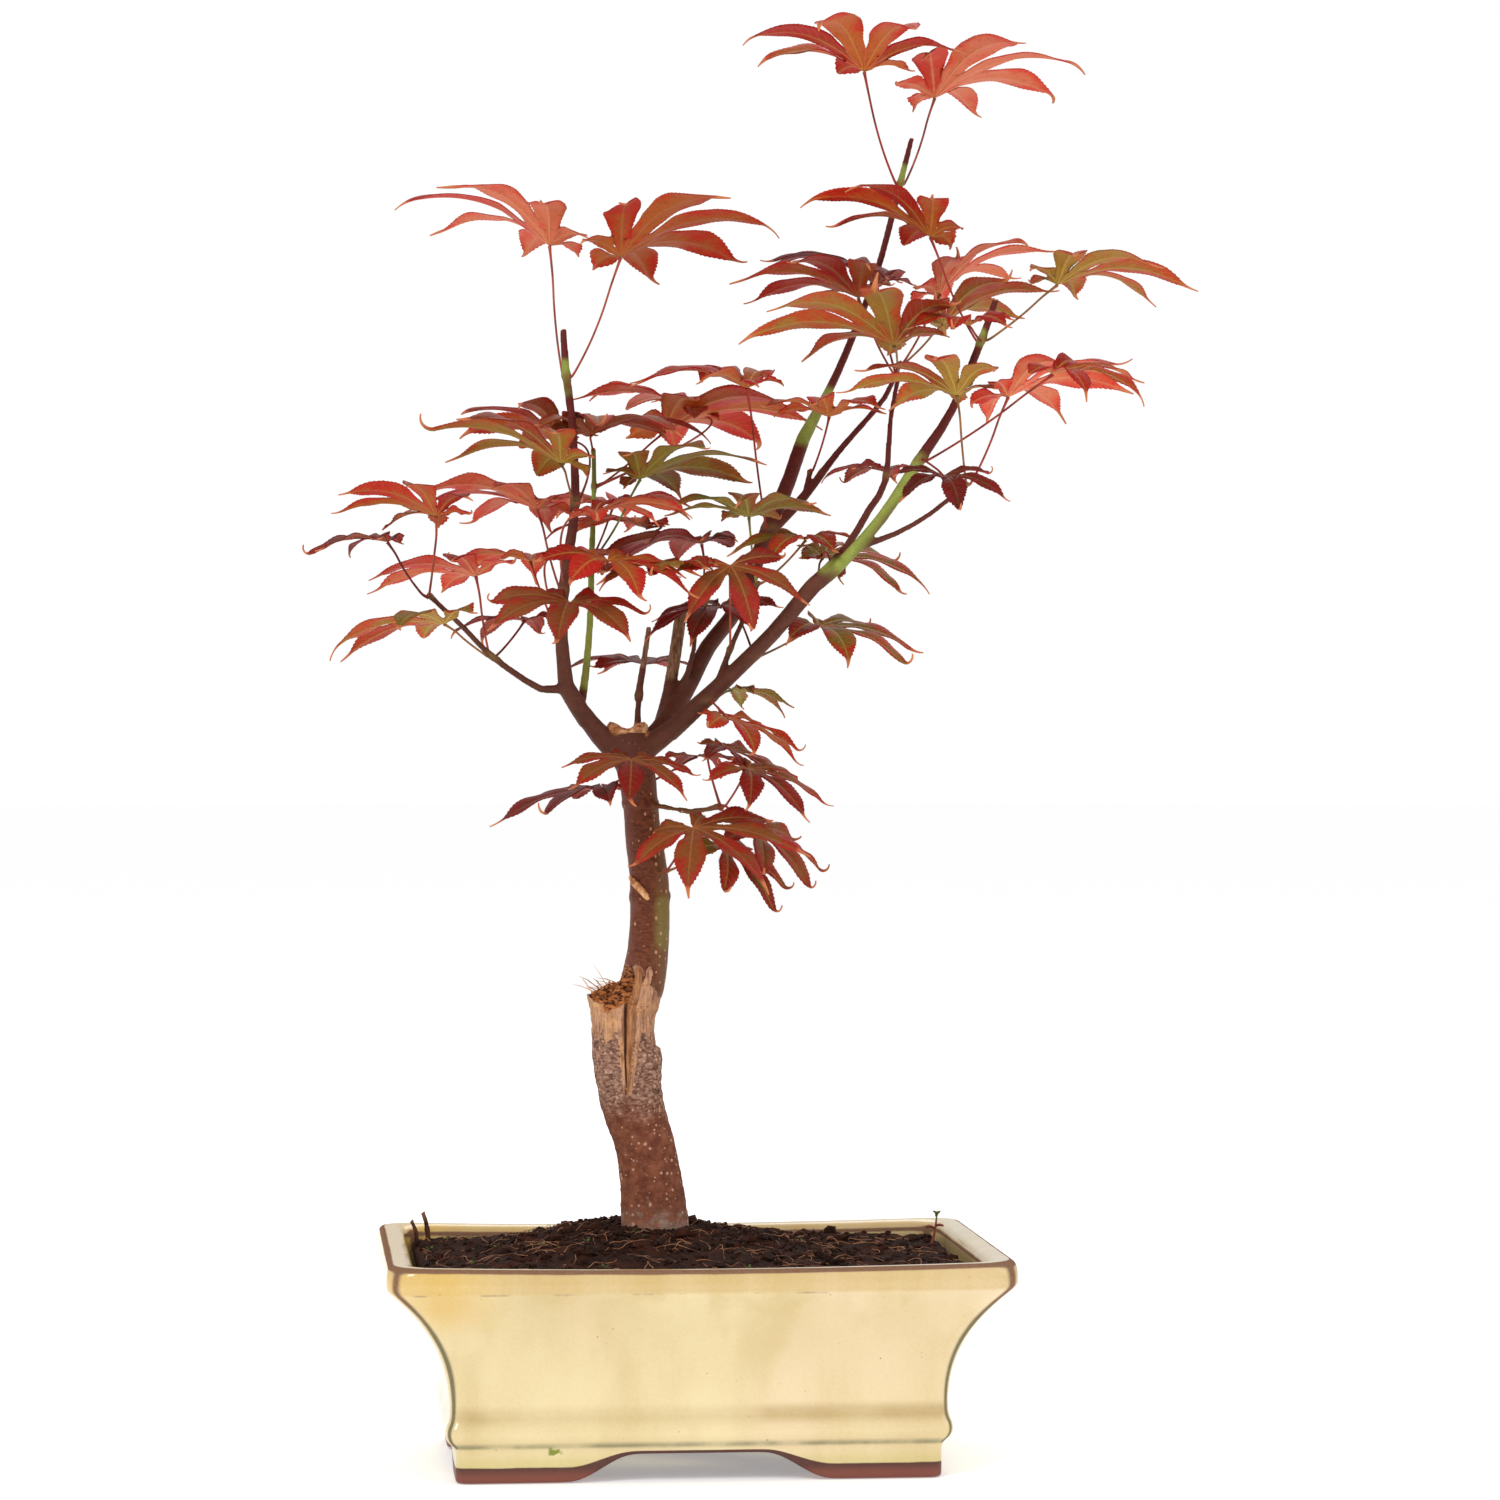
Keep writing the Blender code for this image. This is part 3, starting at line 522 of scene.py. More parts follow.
paint(pot, glaze)
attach(pot, "root")
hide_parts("pot")

# ---- Drain screens and clips ---------------------------------------------------------------------
# A square of black plastic mesh lies over each drain hole inside the pot. A bent aluminium wire
# hooks under the floor on both sides of the hole.

SCREEN_BARS = 11


def two_tone(name, first, second, scale, rough, stretch=(1, 1, 1), low=0, high=1):
    """A finish that drifts between two display colours; its roughness drifts with them."""
    made, tree, shader = finish_named(name)
    tone = cloud(tree, where(tree, stretch), scale, 2)
    drift = tone if (low, high) == (0, 1) else between(tree, tone, low, high)
    dress(tree, shader, mixed(tree, drift, shade(*first), shade(*second)), scaled(tree, tone, *rough))
    return made, shader


def grid_faces(down, along, start=0):
    """Faces of a grid of squares whose corners are numbered row by row."""
    corners = [start + row * (along + 1) + column for row in range(down) for column in range(along)]
    return [(corner, corner + 1, corner + along + 2, corner + along + 1) for corner in corners]


screen_finish, _ = two_tone("screen_plastic", (28, 28, 28), (52, 50, 47), 600, (0.2, 0.45))
wire_finish, shader = two_tone("screen_wire", (150, 150, 152), (205, 205, 208), 800, (0.25, 0.25), (1, 1, 4))
shader.inputs["Metallic"].default_value = 1

for side in ("left", "right"):
    low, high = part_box("drain_screen_" + side)
    count = SCREEN_BARS + 1
    corners = [(low.x + (high.x - low.x) * i / SCREEN_BARS, low.y + (high.y - low.y) * j / SCREEN_BARS,
                (low.z + high.z) / 2) for j in range(count) for i in range(count)]
    squares = grid_faces(SCREEN_BARS, SCREEN_BARS)
    screen = new_piece("screen_mesh_" + side, corners, squares, smooth=False)
    bars = screen.modifiers.new("bars", "WIREFRAME")
    bars.thickness = high.z - low.z
    bars.use_even_offset = False
    settle(screen)
    paint(screen, screen_finish)
    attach(screen, "root")
    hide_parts("drain_screen_" + side)
    paint(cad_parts["screen_clip_" + side], wire_finish)

# ---- Soil ----------------------------------------------------------------------------------------
# Dark peat mix, raked up round the trunk foot. Loose crumbs of peat and bark lie on it, with root
# and bark fibres through them and a few green scraps of moss.

SOIL_GRID = 1.1 * MM
CRUMBS = 1900
FIBRES = 330
FOOT_CLODS = 170
MOSS_SCRAPS = 20
LUMP_KINDS = 8
LUMP_SIZES = ((0.8, 1.5), (0.7, 1.1), (0.5, 0.9))
SOIL_MARGIN = 2 * MM
SOIL_DEPTH_SEEN = 20 * MM
TRUNK_CLEAR = 13.5 * MM
trunk_foot = Vector((-0.0285, 0.001, 0.08))
soil_rng = random.Random(11)


def fine_copy(node, name, grid):
    """A fine even mesh over the shape of a CAD node."""
    piece = linked(name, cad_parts[node].data.copy())
    even = piece.modifiers.new("even", "REMESH")
    even.mode = "VOXEL"
    even.voxel_size = grid
    settle(piece)
    piece.data.materials.clear()
    piece.data.shade_smooth()
    return piece


def vertex_values(piece, normals=False):
    """The piece's vertices, or their normals, as rows of three numbers."""
    source = piece.data.vertex_normals if normals else piece.data.vertices
    values = np.empty(len(source) * 3, np.float32)
    source.foreach_get("vector" if normals else "co", values)
    return values.reshape(-1, 3).astype(float)


def move_vertices(piece, places):
    """Put the piece's vertices at these places."""
    piece.data.vertices.foreach_set("co", places.astype(np.float32).ravel())
    piece.data.update()


def tubes(name, routes, sides=1):
    """Closed round strands in one mesh. A route is a list of (place, radius)."""
    curve = bpy.data.curves.new(name, "CURVE")
    curve.dimensions = "3D"
    curve.bevel_depth = 1
    curve.bevel_resolution = sides
    curve.use_fill_caps = True
    for route in routes:
        strand = curve.splines.new("POLY")
        strand.points.add(len(route) - 1)
        for knot, (place, radius) in zip(strand.points, route):
            knot.co = (*place, 1)
            knot.radius = radius
    holder = linked(name, curve)
    bpy.context.view_layer.update()
    mesh = bpy.data.meshes.new_from_object(holder.evaluated_get(bpy.context.evaluated_depsgraph_get()))
    bpy.data.objects.remove(holder)
    mesh.shade_smooth()
    return linked(name, mesh)


def aim(angle, rise=0):
    """One step out at an angle about the vertical, with a rise."""
    return Vector((math.cos(angle), math.sin(angle), rise))


def mound(x, y, spread):
    """Height of a round heap of height one at a distance from its middle."""
    return math.exp(-(x ** 2 + y ** 2) / (2 * spread ** 2))


soil = fine_copy("soil", "peat_soil", SOIL_GRID)
soil_places = vertex_values(soil)
soil_up = vertex_values(soil, normals=True)[:, 2]
soil_low, soil_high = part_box("soil")
for index in np.flatnonzero((soil_up > 0.3) & (soil_places[:, 2] > soil_high.z - 0.03)):
    x, y, z = soil_places[index]
    near = mound(x - trunk_foot.x, y - trunk_foot.y, 0.04)
    clod = noise.fractal((x * 110, y * 110, 3), 0.8, 2.1, 3) * (0.9 + 1.1 * near)
    crumb = noise.fractal((x * 420, y * 420, 9), 0.7, 2.1, 3)
    heap = 2.2 * mound(x - trunk_foot.x + 0.014, y - trunk_foot.y - 0.012, 0.02)
    soil_places[index, 2] += (clod + 0.55 * crumb + 0.2 + heap) * MM
move_vertices(soil, soil_places)

bpy.context.view_layer.update()
soil_tree = BVHTree.FromObject(soil, bpy.context.evaluated_depsgraph_get())


def soil_below(x, y):
    """The soil's surface under a place, or None outside the soil."""
    return soil_tree.ray_cast((x, y, 0.2), (0, 0, -1))[0]


def soil_spot(rng, pull=0.0):
    """A random place on the soil's top; pull draws it towards the trunk."""
    while True:
        x = rng.uniform(soil_low.x + SOIL_MARGIN, soil_high.x - SOIL_MARGIN)
        y = rng.uniform(soil_low.y + SOIL_MARGIN, soil_high.y - SOIL_MARGIN)
        x += (trunk_foot.x - x) * pull
        y += (trunk_foot.y - y) * pull
        hit = soil_below(x, y)
        if hit and hit.z > soil_high.z - SOIL_DEPTH_SEEN and (hit - trunk_foot).xy.length > TRUNK_CLEAR:
            return hit


ball = bpy.data.meshes.new("ball")
shape = bmesh.new()
bmesh.ops.create_icosphere(shape, subdivisions=1, radius=1)
shape.to_mesh(ball)
shape.free()
ball_places = np.array([vertex.co for vertex in ball.vertices])
ball_faces = np.array([face.vertices for face in ball.polygons])
lumps = []
for kind in range(LUMP_KINDS):
    swell = [1 + 0.55 * noise.noise(Vector(place) * 1.3 + Vector((kind * 7, 0, 0))) for place in ball_places]
    lumps.append(ball_places * np.array(swell)[:, None])
crumb_places, crumb_faces = [], []
for index in range(CRUMBS + FOOT_CLODS):
    spot = soil_spot(soil_rng, soil_rng.choice((0, 0, 0.35, 0.6)))
    size = soil_rng.uniform(0.5, 1.3) * MM * (2.1 if soil_rng.random() < 0.1 else 1)
    if index >= CRUMBS:
        around = soil_rng.uniform(0, math.tau)
        out = soil_rng.uniform(11.8, 18)
        climb = max(0, 15 - out) * 0.35 + 0.3 * math.cos(around - 2.5)
        spot = trunk_foot + Vector((math.cos(around) * out, math.sin(around) * out, climb)) * MM
        hit = soil_below(spot.x, spot.y)
        spot.z = max(spot.z - 1.2 * MM, hit.z if hit else 0)
        size = soil_rng.uniform(0.8, 1.9) * MM
    turn = Matrix.Rotation(soil_rng.uniform(0, math.tau), 3, "Z")
    turn = turn @ Matrix.Rotation(soil_rng.uniform(-1, 1), 3, "X")
    squash = Matrix.Diagonal([soil_rng.uniform(*reach) for reach in LUMP_SIZES])
    lump = lumps[soil_rng.randrange(LUMP_KINDS)] @ np.array(turn @ squash).T * size
    crumb_faces.append(ball_faces + index * len(ball_places))
    crumb_places.append(lump + np.array(spot + Vector((0, 0, 0.2 * size))))
crumb_places = np.concatenate(crumb_places).tolist()
crumbs = new_piece("peat_crumbs", crumb_places, np.concatenate(crumb_faces).tolist(), smooth=False)

fibre_routes = []
for index in range(FIBRES):
    spot = soil_spot(soil_rng, soil_rng.choice((0, 0, 0.4)))
    heading = soil_rng.uniform(0, math.tau)
    steps = soil_rng.randint(5, 9)
    stride = soil_rng.uniform(0.8, 2.4) * MM
    arch = soil_rng.uniform(-0.2, 1.7) * MM
    radius = soil_rng.uniform(0.08, 0.2) * MM
    route = []
    for step in range(steps + 1):
        rise = arch * math.sin(math.pi * step / steps) + 0.2 * MM
        hit = soil_below(spot.x, spot.y)
        level = hit.z if hit and hit.z > soil_high.z - SOIL_DEPTH_SEEN else spot.z
        route.append((Vector((spot.x, spot.y, level + rise)), radius * (1 - 0.5 * step / steps)))
        heading += soil_rng.uniform(-0.45, 0.45)
        ahead = spot + aim(heading) * stride
        inside = all(low + SOIL_MARGIN < at < high - SOIL_MARGIN
                     for low, at, high in zip(soil_low.xy, ahead.xy, soil_high.xy))
        spot = ahead if inside else spot + (trunk_foot - spot).normalized() * stride
        spot.z = level
    fibre_routes.append(route)
fibres = tubes("root_and_bark_fibres", fibre_routes)

# Corners of a flat four-sided scrap, lower and upper in turn: its under side, upper side and rim.
MOSS_FACES = ((0, 2, 4, 6), (7, 5, 3, 1), (0, 1, 3, 2), (2, 3, 5, 4), (4, 5, 7, 6), (6, 7, 1, 0))
moss_places, moss_faces = [], []
for index in range(MOSS_SCRAPS):
    spot = soil_spot(soil_rng) + Vector((0, 0, 0.5 * MM))
    turn = soil_rng.uniform(0, math.tau)
    for leaf in range(3):
        along = aim(turn + 2.1 * leaf, soil_rng.uniform(0.3, 0.9))
        wide = along.cross((0, 0, 1)).normalized() * 0.45 * MM
        start = len(moss_places)
        length = soil_rng.uniform(0.9, 2.0) * MM
        lifted = Vector((0, 0, 0.12 * MM))
        half_way = spot + along * length * 0.5
        for point in (spot, half_way + wide, spot + along * length, half_way - wide):
            moss_places += [point - lifted, point + lifted]
        moss_faces += [[start + corner for corner in face] for face in MOSS_FACES]
moss = new_piece("moss_scraps", moss_places, moss_faces, smooth=False)

peat, tree, shader = finish_named("peat")
place = where(tree)
fine = cloud(tree, place, 700, 5, 0.7)
broad = cloud(tree, place, 120, 3)
colour = ramp(tree, fine, 0.3, 0.75, (22, 12, 8), (60, 36, 26))
colour = over(tree, colour, (80, 42, 28), between(tree, broad, 0.45, 0.7), 0.5)
dress(tree, shader, colour, scaled(tree, fine, 0.1, 0.85), relief(tree, fine, 0.0006, 0.9), 0.1)
fibre_finish, _ = two_tone("root_fibre", (78, 36, 22), (172, 118, 80), 110, (0.3, 0.55), low=0.35, high=0.62)
moss_finish, _ = two_tone("moss", (52, 66, 26), (96, 116, 50), 300, (0.2, 0.6))
for piece, finish in ((soil, peat), (crumbs, peat), (fibres, fibre_finish), (moss, moss_finish)):
    paint(piece, finish)
    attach(piece, "root")
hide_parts("soil")

# ---- Wood ----------------------------------------------------------------------------------------
# One growth: an old grey-brown trunk with a torn side and a sawn stump, a younger leader cut off at
# the fork, and thin wine-red shoots, green where they are freshest, with a ring at every leaf.

WOOD_GRID = 0.62 * MM
TRUNK_REACH = 16.5 * MM
TRUNK_END = 0.262
# Rounds of smoothing: the trunk, then everything else.
TRUNK_ROUNDS = 26
SHOOT_ROUNDS = 3
# Middle of the trunk at rising heights: height, then x, in millimetres.
TRUNK_LINE = ((56, -28.5), (106, -31.5), (123, -36.5), (140, -38.5), (158, -38.5), (169, -32), (182, -30.5),
              (200, -30.5), (214, -32.5), (226, -33.5), (240, -35.5), (252, -38.5))
# Freshest wood, greener than the rest: two ends and how far it reaches, in millimetres.
GREEN_WOOD = (((-52, 2, 270), (-48.5, 21, 350), 5), ((30, -24, 307), (58, -30, 343), 4.5),
              ((26, 32, 356), (34, 32, 369), 4.5), ((-60, -3, 369), (-60, -3, 377), 3),
              ((60.5, 29, 441), (61, 29, 449), 3), ((-24.5, -5, 180), (-24.5, -5, 191), 4.5),
              ((36, 20, 334), (38, 18, 337), 3), ((80, -33, 385), (80, -33, 387), 2.5))
# Dried-out wood, grey-brown: the sawn stub behind the fork and the dead twig beside it.
DEAD_WOOD = (((-20.5, 18, 272), (-17.5, 23, 295), 4.2), ((-32, 12, 276), (-29.5, 15, 289), 2.4))
# Sawn or broken ends: the end's middle, the way it faces, and its radius, in millimetres.
CUT_ENDS = (((-47, -1, 163), (-0.36, -0.48, 0.8), 10), ((-38.5, 1, 252), (-0.2, 0, 1), 7.5),
            ((-17.5, 23, 294), (0.1, 0.2, 1), 3.2), ((-29.5, 15, 288), (0.2, 0.1, 1), 2),
            ((-60.5, -3, 390), (0, 0, 1), 2), ((64.5, 28, 461), (0.3, 0, 1), 2),
            ((85.5, -33, 399), (0.3, 0, 1), 2))
LEAF_SHEET = 0.9 * MM


def leaf_bones(node):
    """A CAD leaf's hub, way ahead, way up, stalk stations to the wood, lobes right to left, and sinuses."""
    shape = bmesh.new()
    shape.from_mesh(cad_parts[node].data)
    bmesh.ops.remove_doubles(shape, verts=shape.verts, dist=1e-6)
    points = KDTree(len(shape.verts))
    for vertex in shape.verts:
        points.insert(vertex.co, vertex.index)
    points.balance()
    middle, number = {}, {}
    for vertex in shape.verts:
        around = points.find_range(vertex.co, 1.3 * LEAF_SHEET)
        twin = min((found for found in around if found[1] != vertex.index),
                   key=lambda found: abs(found[2] - LEAF_SHEET))
        number[vertex.index] = min(vertex.index, twin[1])
        middle[number[vertex.index]] = (vertex.co + twin[0]) / 2
    joined = {key: set() for key in middle}
    for edge in shape.edges:
        a, b = (number[vertex.index] for vertex in edge.verts)
        if a != b:
            joined[a].add(b)
            joined[b].add(a)
    shape.free()
    hub = max(joined, key=lambda key: len(joined[key]))
    notch = sorted(joined[hub], key=lambda key: (middle[key] - middle[hub]).length)[:2]
    blade, edge_of_blade = set(), joined[hub] - set(notch)
    while edge_of_blade:
        blade |= edge_of_blade
        edge_of_blade = {key for done in edge_of_blade for key in joined[done]} - blade - {hub, *notch}
    stalk, station = [], set(notch)
    passed = blade | {hub}
    while station:
        stalk.append(sum((middle[key] for key in station), Vector()) / len(station))
        passed |= station
        station = {key for done in station for key in joined[done]} - passed
    lobes = []
    for tip in (key for key in blade if hub not in joined[key]):
        sides = max(combinations(joined[tip], 2), key=lambda pair: (middle[pair[0]] - middle[pair[1]]).length)
        across = middle[sides[0]] - middle[sides[1]]
        lobes.append({"tip": middle[tip], "rib": middle[sides[1]] + across / 2, "sides": sides,
                      "half_width": across.length / 2})
    ahead = (middle[hub] - stalk[0]).normalized()
    up = ahead.cross(middle[notch[1]] - middle[notch[0]]).normalized()
    if sum((lobe["rib"] - middle[hub]).dot(up) for lobe in lobes) < 0:
        up = -up
    left = up.cross(ahead)
    for lobe in lobes:
        out = lobe["rib"] - middle[hub]
        lobe["turn"] = math.atan2(out.dot(left), out.dot(ahead))
    lobes.sort(key=lambda lobe: lobe["turn"])
    sinuses = []
    for first, second in zip(lobes, lobes[1:]):
        shared = {key for side in first["sides"] for key in joined[side]}
        shared &= {key for side in second["sides"] for key in joined[side]}
        sinuses.append(middle[(shared - {hub}).pop()])
    return {"hub": middle[hub], "ahead": ahead, "up": up, "stalk": stalk[1:], "lobes": lobes,
            "sinuses": sinuses}


leaf_nodes = sorted(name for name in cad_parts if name.startswith("leaf_"))
bones = {name: leaf_bones(name) for name in leaf_nodes}
cad_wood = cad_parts["wood"].data
cad_wood_tree = BVHTree.FromPolygons([vertex.co for vertex in cad_wood.vertices],
                                     [face.vertices for face in cad_wood.polygons])
stalk_feet = {name: cad_wood_tree.find_nearest(bones[name]["stalk"][-1])[0] for name in leaf_nodes}

# More leaves of the thick middle of the crown: the leaf each is like, its hub in millimetres, how far
# it is turned about the vertical and its size against that leaf, then near where its stalk starts.
MORE_LEAVES = {
    "leaf_left_front": ("leaf_left_base_1", (-48, -42, 309), 25, 0.95, (-49, 13, 312)),
    "leaf_left_rose": ("leaf_left_low_1", (-52, -30, 325), 190, 0.72, (-60, -4, 300)),
    "leaf_left_back": ("leaf_left_mid_1", (-59, 25, 354), 20, 0.8, (-56, -6, 330)),
    "leaf_left_under": ("leaf_left_base_2", (-60, 5, 311), -60, 0.8, (-62, -5, 286)),
    "leaf_green_back": ("leaf_green_low_1", (-12, 58, 365), -150, 0.95, (-47, 19, 337)),
    "leaf_green_inner": ("leaf_green_low_3", (-30, 25, 323), 100, 0.9, (-49, 16, 313)),
    "leaf_middle_front": ("leaf_inner_1", (-20, -30, 307), 60, 0.85, (-13, 9, 290)),
    "leaf_middle_low": ("leaf_right_arm_1", (-5, 10, 295), -80, 0.85, (5, -12, 277)),
    "leaf_front_upper": ("leaf_front_1", (-5, -5, 246), 20, 0.9, (-7, -17, 225)),
}
for name, (like, hub, turn, size, near_foot) in MORE_LEAVES.items():
    model = bones[like]
    hub = Vector(hub) * MM
    turned = Matrix.Rotation(math.radians(turn), 3, "Z") * size
    foot = cad_wood_tree.find_nearest(Vector(near_foot) * MM)[0]
    behind = -(turned @ model["ahead"]).normalized()
    start = hub + behind * 4 * MM
    bent = start + behind * 0.3 * (foot - start).length
    bones[name] = {
        "hub": hub, "up": (turned @ model["up"]).normalized(),
        "stalk": [start.lerp(bent, t).lerp(bent.lerp(foot, t), t) for t in (0, 0.25, 0.5, 0.75, 0.92)],
        "lobes": [{"tip": hub + turned @ (lobe["tip"] - model["hub"]),
                   "rib": hub + turned @ (lobe["rib"] - model["hub"]),
                   "half_width": lobe["half_width"] * size} for lobe in model["lobes"]],
        "sinuses": [hub + turned @ (sinus - model["hub"]) for sinus in model["sinuses"]]}
    stalk_feet[name] = foot

wood = fine_copy("wood", "maple_wood", WOOD_GRID)
places = vertex_values(wood)
edges = np.array([edge.vertices for edge in wood.data.edges])
line_heights = [height * MM for height, _ in TRUNK_LINE]
line_x = np.interp(places[:, 2], line_heights, [x * MM for _, x in TRUNK_LINE])
off_x = places[:, 0] - line_x
off_y = places[:, 1] - 0.001
on_trunk = (np.hypot(off_x, off_y) < TRUNK_REACH) & (places[:, 2] < TRUNK_END)
trunk_only = np.where(on_trunk, 1.0, 0.0)
neighbours = np.bincount(edges.ravel(), minlength=len(places))[:, None]
for round_done in range(TRUNK_ROUNDS):
    total = np.zeros_like(places)
    np.add.at(total, edges[:, 0], places[edges[:, 1]])
    np.add.at(total, edges[:, 1], places[edges[:, 0]])
    weight = 0.5 * (trunk_only if round_done >= SHOOT_ROUNDS else np.ones(len(places)))
    places += (total / neighbours - places) * weight[:, None]
# The stump's end: a broken face that slopes down to the left and to the front.
STUMP_EDGE = np.array((-52.8, 0, 160.6)) * MM
STUMP_FACING = np.array((-0.36, -0.48, 0.8))
above_face = np.maximum(0, (places - STUMP_EDGE) @ STUMP_FACING)
beside_leader = np.clip((-0.0395 - places[:, 0]) / 0.0035, 0, 1)
beside_leader *= (places[:, 2] > 0.15) & (places[:, 2] < 0.18)
places -= STUMP_FACING * (above_face * beside_leader)[:, None]
move_vertices(wood, places)
normals = vertex_values(wood, normals=True)
x, y, z = places.T
off_x = x - line_x


def step_up(values, low, high):
    """0 below low and 1 above high, smoothly, for many values; low may be the larger."""
    share = np.clip((values - low) / (high - low), 0, 1)
    return share * share * (3 - 2 * share)


def bell(values, middle, width):
    """1 at the middle and near 0 beyond twice the width, for many values."""
    return np.exp(-((values - middle) / width) ** 2)


def noise_rows(points, stretch, seed, octaves=3):
    """Fractal noise at each point; stretch is how many features fit in a metre along x, y and z."""
    shift = Vector((seed, seed * 2, 0))
    return np.array([noise.fractal(Vector(point) + shift, 0.8, 2, octaves) for point in points * stretch])


front = step_up(-off_y, -0.001, 0.003)
rough = np.zeros(len(places))
streaks = np.zeros(len(places))
rows = np.flatnonzero(on_trunk)
rough[rows] = noise_rows(places[rows], np.array((420, 420, 260)), 3)
streaks[rows] = noise_rows(places[rows], np.array((900, 900, 110)), 8, 2)
ragged = rough * 0.004
# The torn zone's upper edge rises to the left, and its lower edge frays out.
torn_top = 0.158 + np.clip(-0.0232 - x, 0, 0.014) * 0.69
torn = step_up(z + ragged * 1.8, 0.1435, 0.151) * trunk_only
torn *= step_up(z + ragged * 0.5, torn_top + 0.0008, torn_top - 0.0008)
split_x = np.interp(z, (0.124, 0.14, 0.157, 0.168), (-0.0389, -0.0385, -0.0375, -0.0354))
split_width = np.interp(z, (0.122, 0.135, 0.152, 0.168), (0.4, 1.1, 2.1, 2.5)) * MM
from_split = (x - split_x) / split_width
along_split = step_up(z, 0.122, 0.130) * step_up(z, 0.1735, 0.168) * front * trunk_only
groove = np.exp(-np.abs(from_split) ** 4) * along_split
crack = bell(from_split, -0.85, 0.28) * along_split
crack += 0.5 * bell(from_split, 0.9, 0.22) * along_split * step_up(z, 0.14, 0.15)
lips = bell(np.abs(from_split), 1.7, 0.6) * along_split
right = step_up(off_x, 0.002, 0.007)
hollow = right * step_up(z, 0.1418, 0.1432) * step_up(z, 0.164, 0.152) * trunk_only
lip_below = right * bell(z, 0.138, 0.0032) * trunk_only
old_bark = np.where(on_trunk, step_up(z - torn_top, 0.001, -0.001), 0)
lift = 0.42 * rough * old_bark + 0.08 * rough * (1 - old_bark)
lift += 0.3 * streaks * np.maximum(torn, groove) + 0.12 * streaks * old_bark
lift += -0.9 * groove * step_up(z, 0.125, 0.14) - 0.9 * crack + 0.5 * lips * (0.7 + 0.6 * streaks)
lift += -1.4 * hollow + 0.7 * lip_below - 0.2 * torn
for ring_height, ring_size in ((0.194, 0.45), (0.226, 0.4)):
    lift += ring_size * bell(z - ragged * 0.4, ring_height, 0.0011) * trunk_only

ringed = np.zeros(len(places))
for foot in stalk_feet.values():
    ring = bell(x, foot.x, 0.0035) * bell(y, foot.y, 0.0035) * bell(z, foot.z, 0.0013)
    ringed = np.maximum(ringed, ring)
lift += np.where(on_trunk, 0.15, 0.4) * ringed + np.where(on_trunk, 0, 0.1)
cut = np.zeros(len(places))
for (end_x, end_y, end_z), facing, end_radius in CUT_ENDS:
    facing = np.array(facing) / np.linalg.norm(facing)
    apart = places - np.array((end_x, end_y, end_z)) * MM
    faces_out = step_up(normals @ facing, 0.45, 0.75)
    close = step_up(np.linalg.norm(apart, axis=1), end_radius * 1.25 * MM, end_radius * 0.95 * MM)
    cut = np.maximum(cut, faces_out * close)
stump_cut = cut * np.where(z < 0.18, 1.0, 0.0)
lift += stump_cut * (1.8 * rough - 1.6) + (cut - stump_cut) * 0.3 * rough
places += normals * (lift * MM)[:, None]
move_vertices(wood, places)


def along_wood(stretches):
    """One near any of the stretches, zero away from them."""
    mask = np.zeros(len(places))
    for start, end, reach in stretches:
        start, end = np.array(start) * MM, np.array(end) * MM
        share = np.clip((places - start) @ (end - start) / np.sum((end - start) ** 2), 0, 1)
        apart = np.linalg.norm(places - start - share[:, None] * (end - start), axis=1)
        mask = np.maximum(mask, step_up(apart, reach * 1.3 * MM, reach * 0.6 * MM))
    return mask


torn_wood = np.maximum(torn * (0.6 + 0.4 * front), np.maximum(lips, groove))
for label, mask in (("old_bark", old_bark), ("torn_wood", torn_wood), ("deep_wood", groove), ("crack", crack),
                    ("cut_wood", cut), ("stump_cut", stump_cut), ("ring", ringed),
                    ("fresh_wood", along_wood(GREEN_WOOD)), ("dead_wood", along_wood(DEAD_WOOD))):
    set_values(wood, label, mask)

bark, tree, shader = finish_named("maple_bark")
place = where(tree)
level = axis_of(tree, place, "Z")
mottle = cloud(tree, place, 260, 4, 0.65)
fleck = cloud(tree, where(tree, (1, 1, 2.2)), 520, 3, 0.7)
fibre = cloud(tree, where(tree, (1, 1, 0.12)), 1100, 3, 0.6)
broad = cloud(tree, place, 60, 2)
wander = scaled(tree, maths(tree, "SUBTRACT", mottle, 0.5), 0.03, level)

# Shoots, from brown near the fork to maroon near their tips.
low_shoot = mixed(tree, mottle, shade(58, 28, 18), shade(112, 62, 44))
high_shoot = mixed(tree, mottle, shade(66, 14, 10), shade(116, 36, 26))
shoot_tone = mixed(tree, between(tree, level, 0.29, 0.36), low_shoot, high_shoot)
green_tone = mixed(tree, mottle, shade(112, 122, 42), shade(158, 170, 80))
green_mask = times(tree, value_of(tree, "fresh_wood"), between(tree, broad, 0.2, 0.5))
shoot_tone = mixed(tree, green_mask, shoot_tone, green_tone)
dead_tone = ramp(tree, fibre, 0.3, 0.7, (92, 62, 42), (158, 120, 88))
shoot_tone = mixed(tree, value_of(tree, "dead_wood"), shoot_tone, dead_tone)

# The leader: red-brown, olive to the right, with small pale pores in it.
sides = scaled(tree, maths(tree, "SUBTRACT", mottle, 0.5), 0.012, axis_of(tree, place, "X"))
leader_tone = ramp(tree, fleck, 0.35, 0.7, (82, 36, 18), (118, 62, 34))
leader_tone = over(tree, leader_tone, (112, 74, 42), between(tree, sides, -0.0315, -0.026))
leader_tone = over(tree, leader_tone, (110, 62, 48), between(tree, sides, -0.034, -0.0385))
olive = times(tree, value_of(tree, "fresh_wood"), between(tree, fleck, 0.25, 0.45))
leader_tone = over(tree, leader_tone, (122, 104, 52), olive)
pores = placed(tree, grains, Place=where(tree, (1, 1, 0.7)), Scale=560, Size=0.3)["Mask"]
pores = times(tree, pores, between(tree, level, 0.28, 0.24))
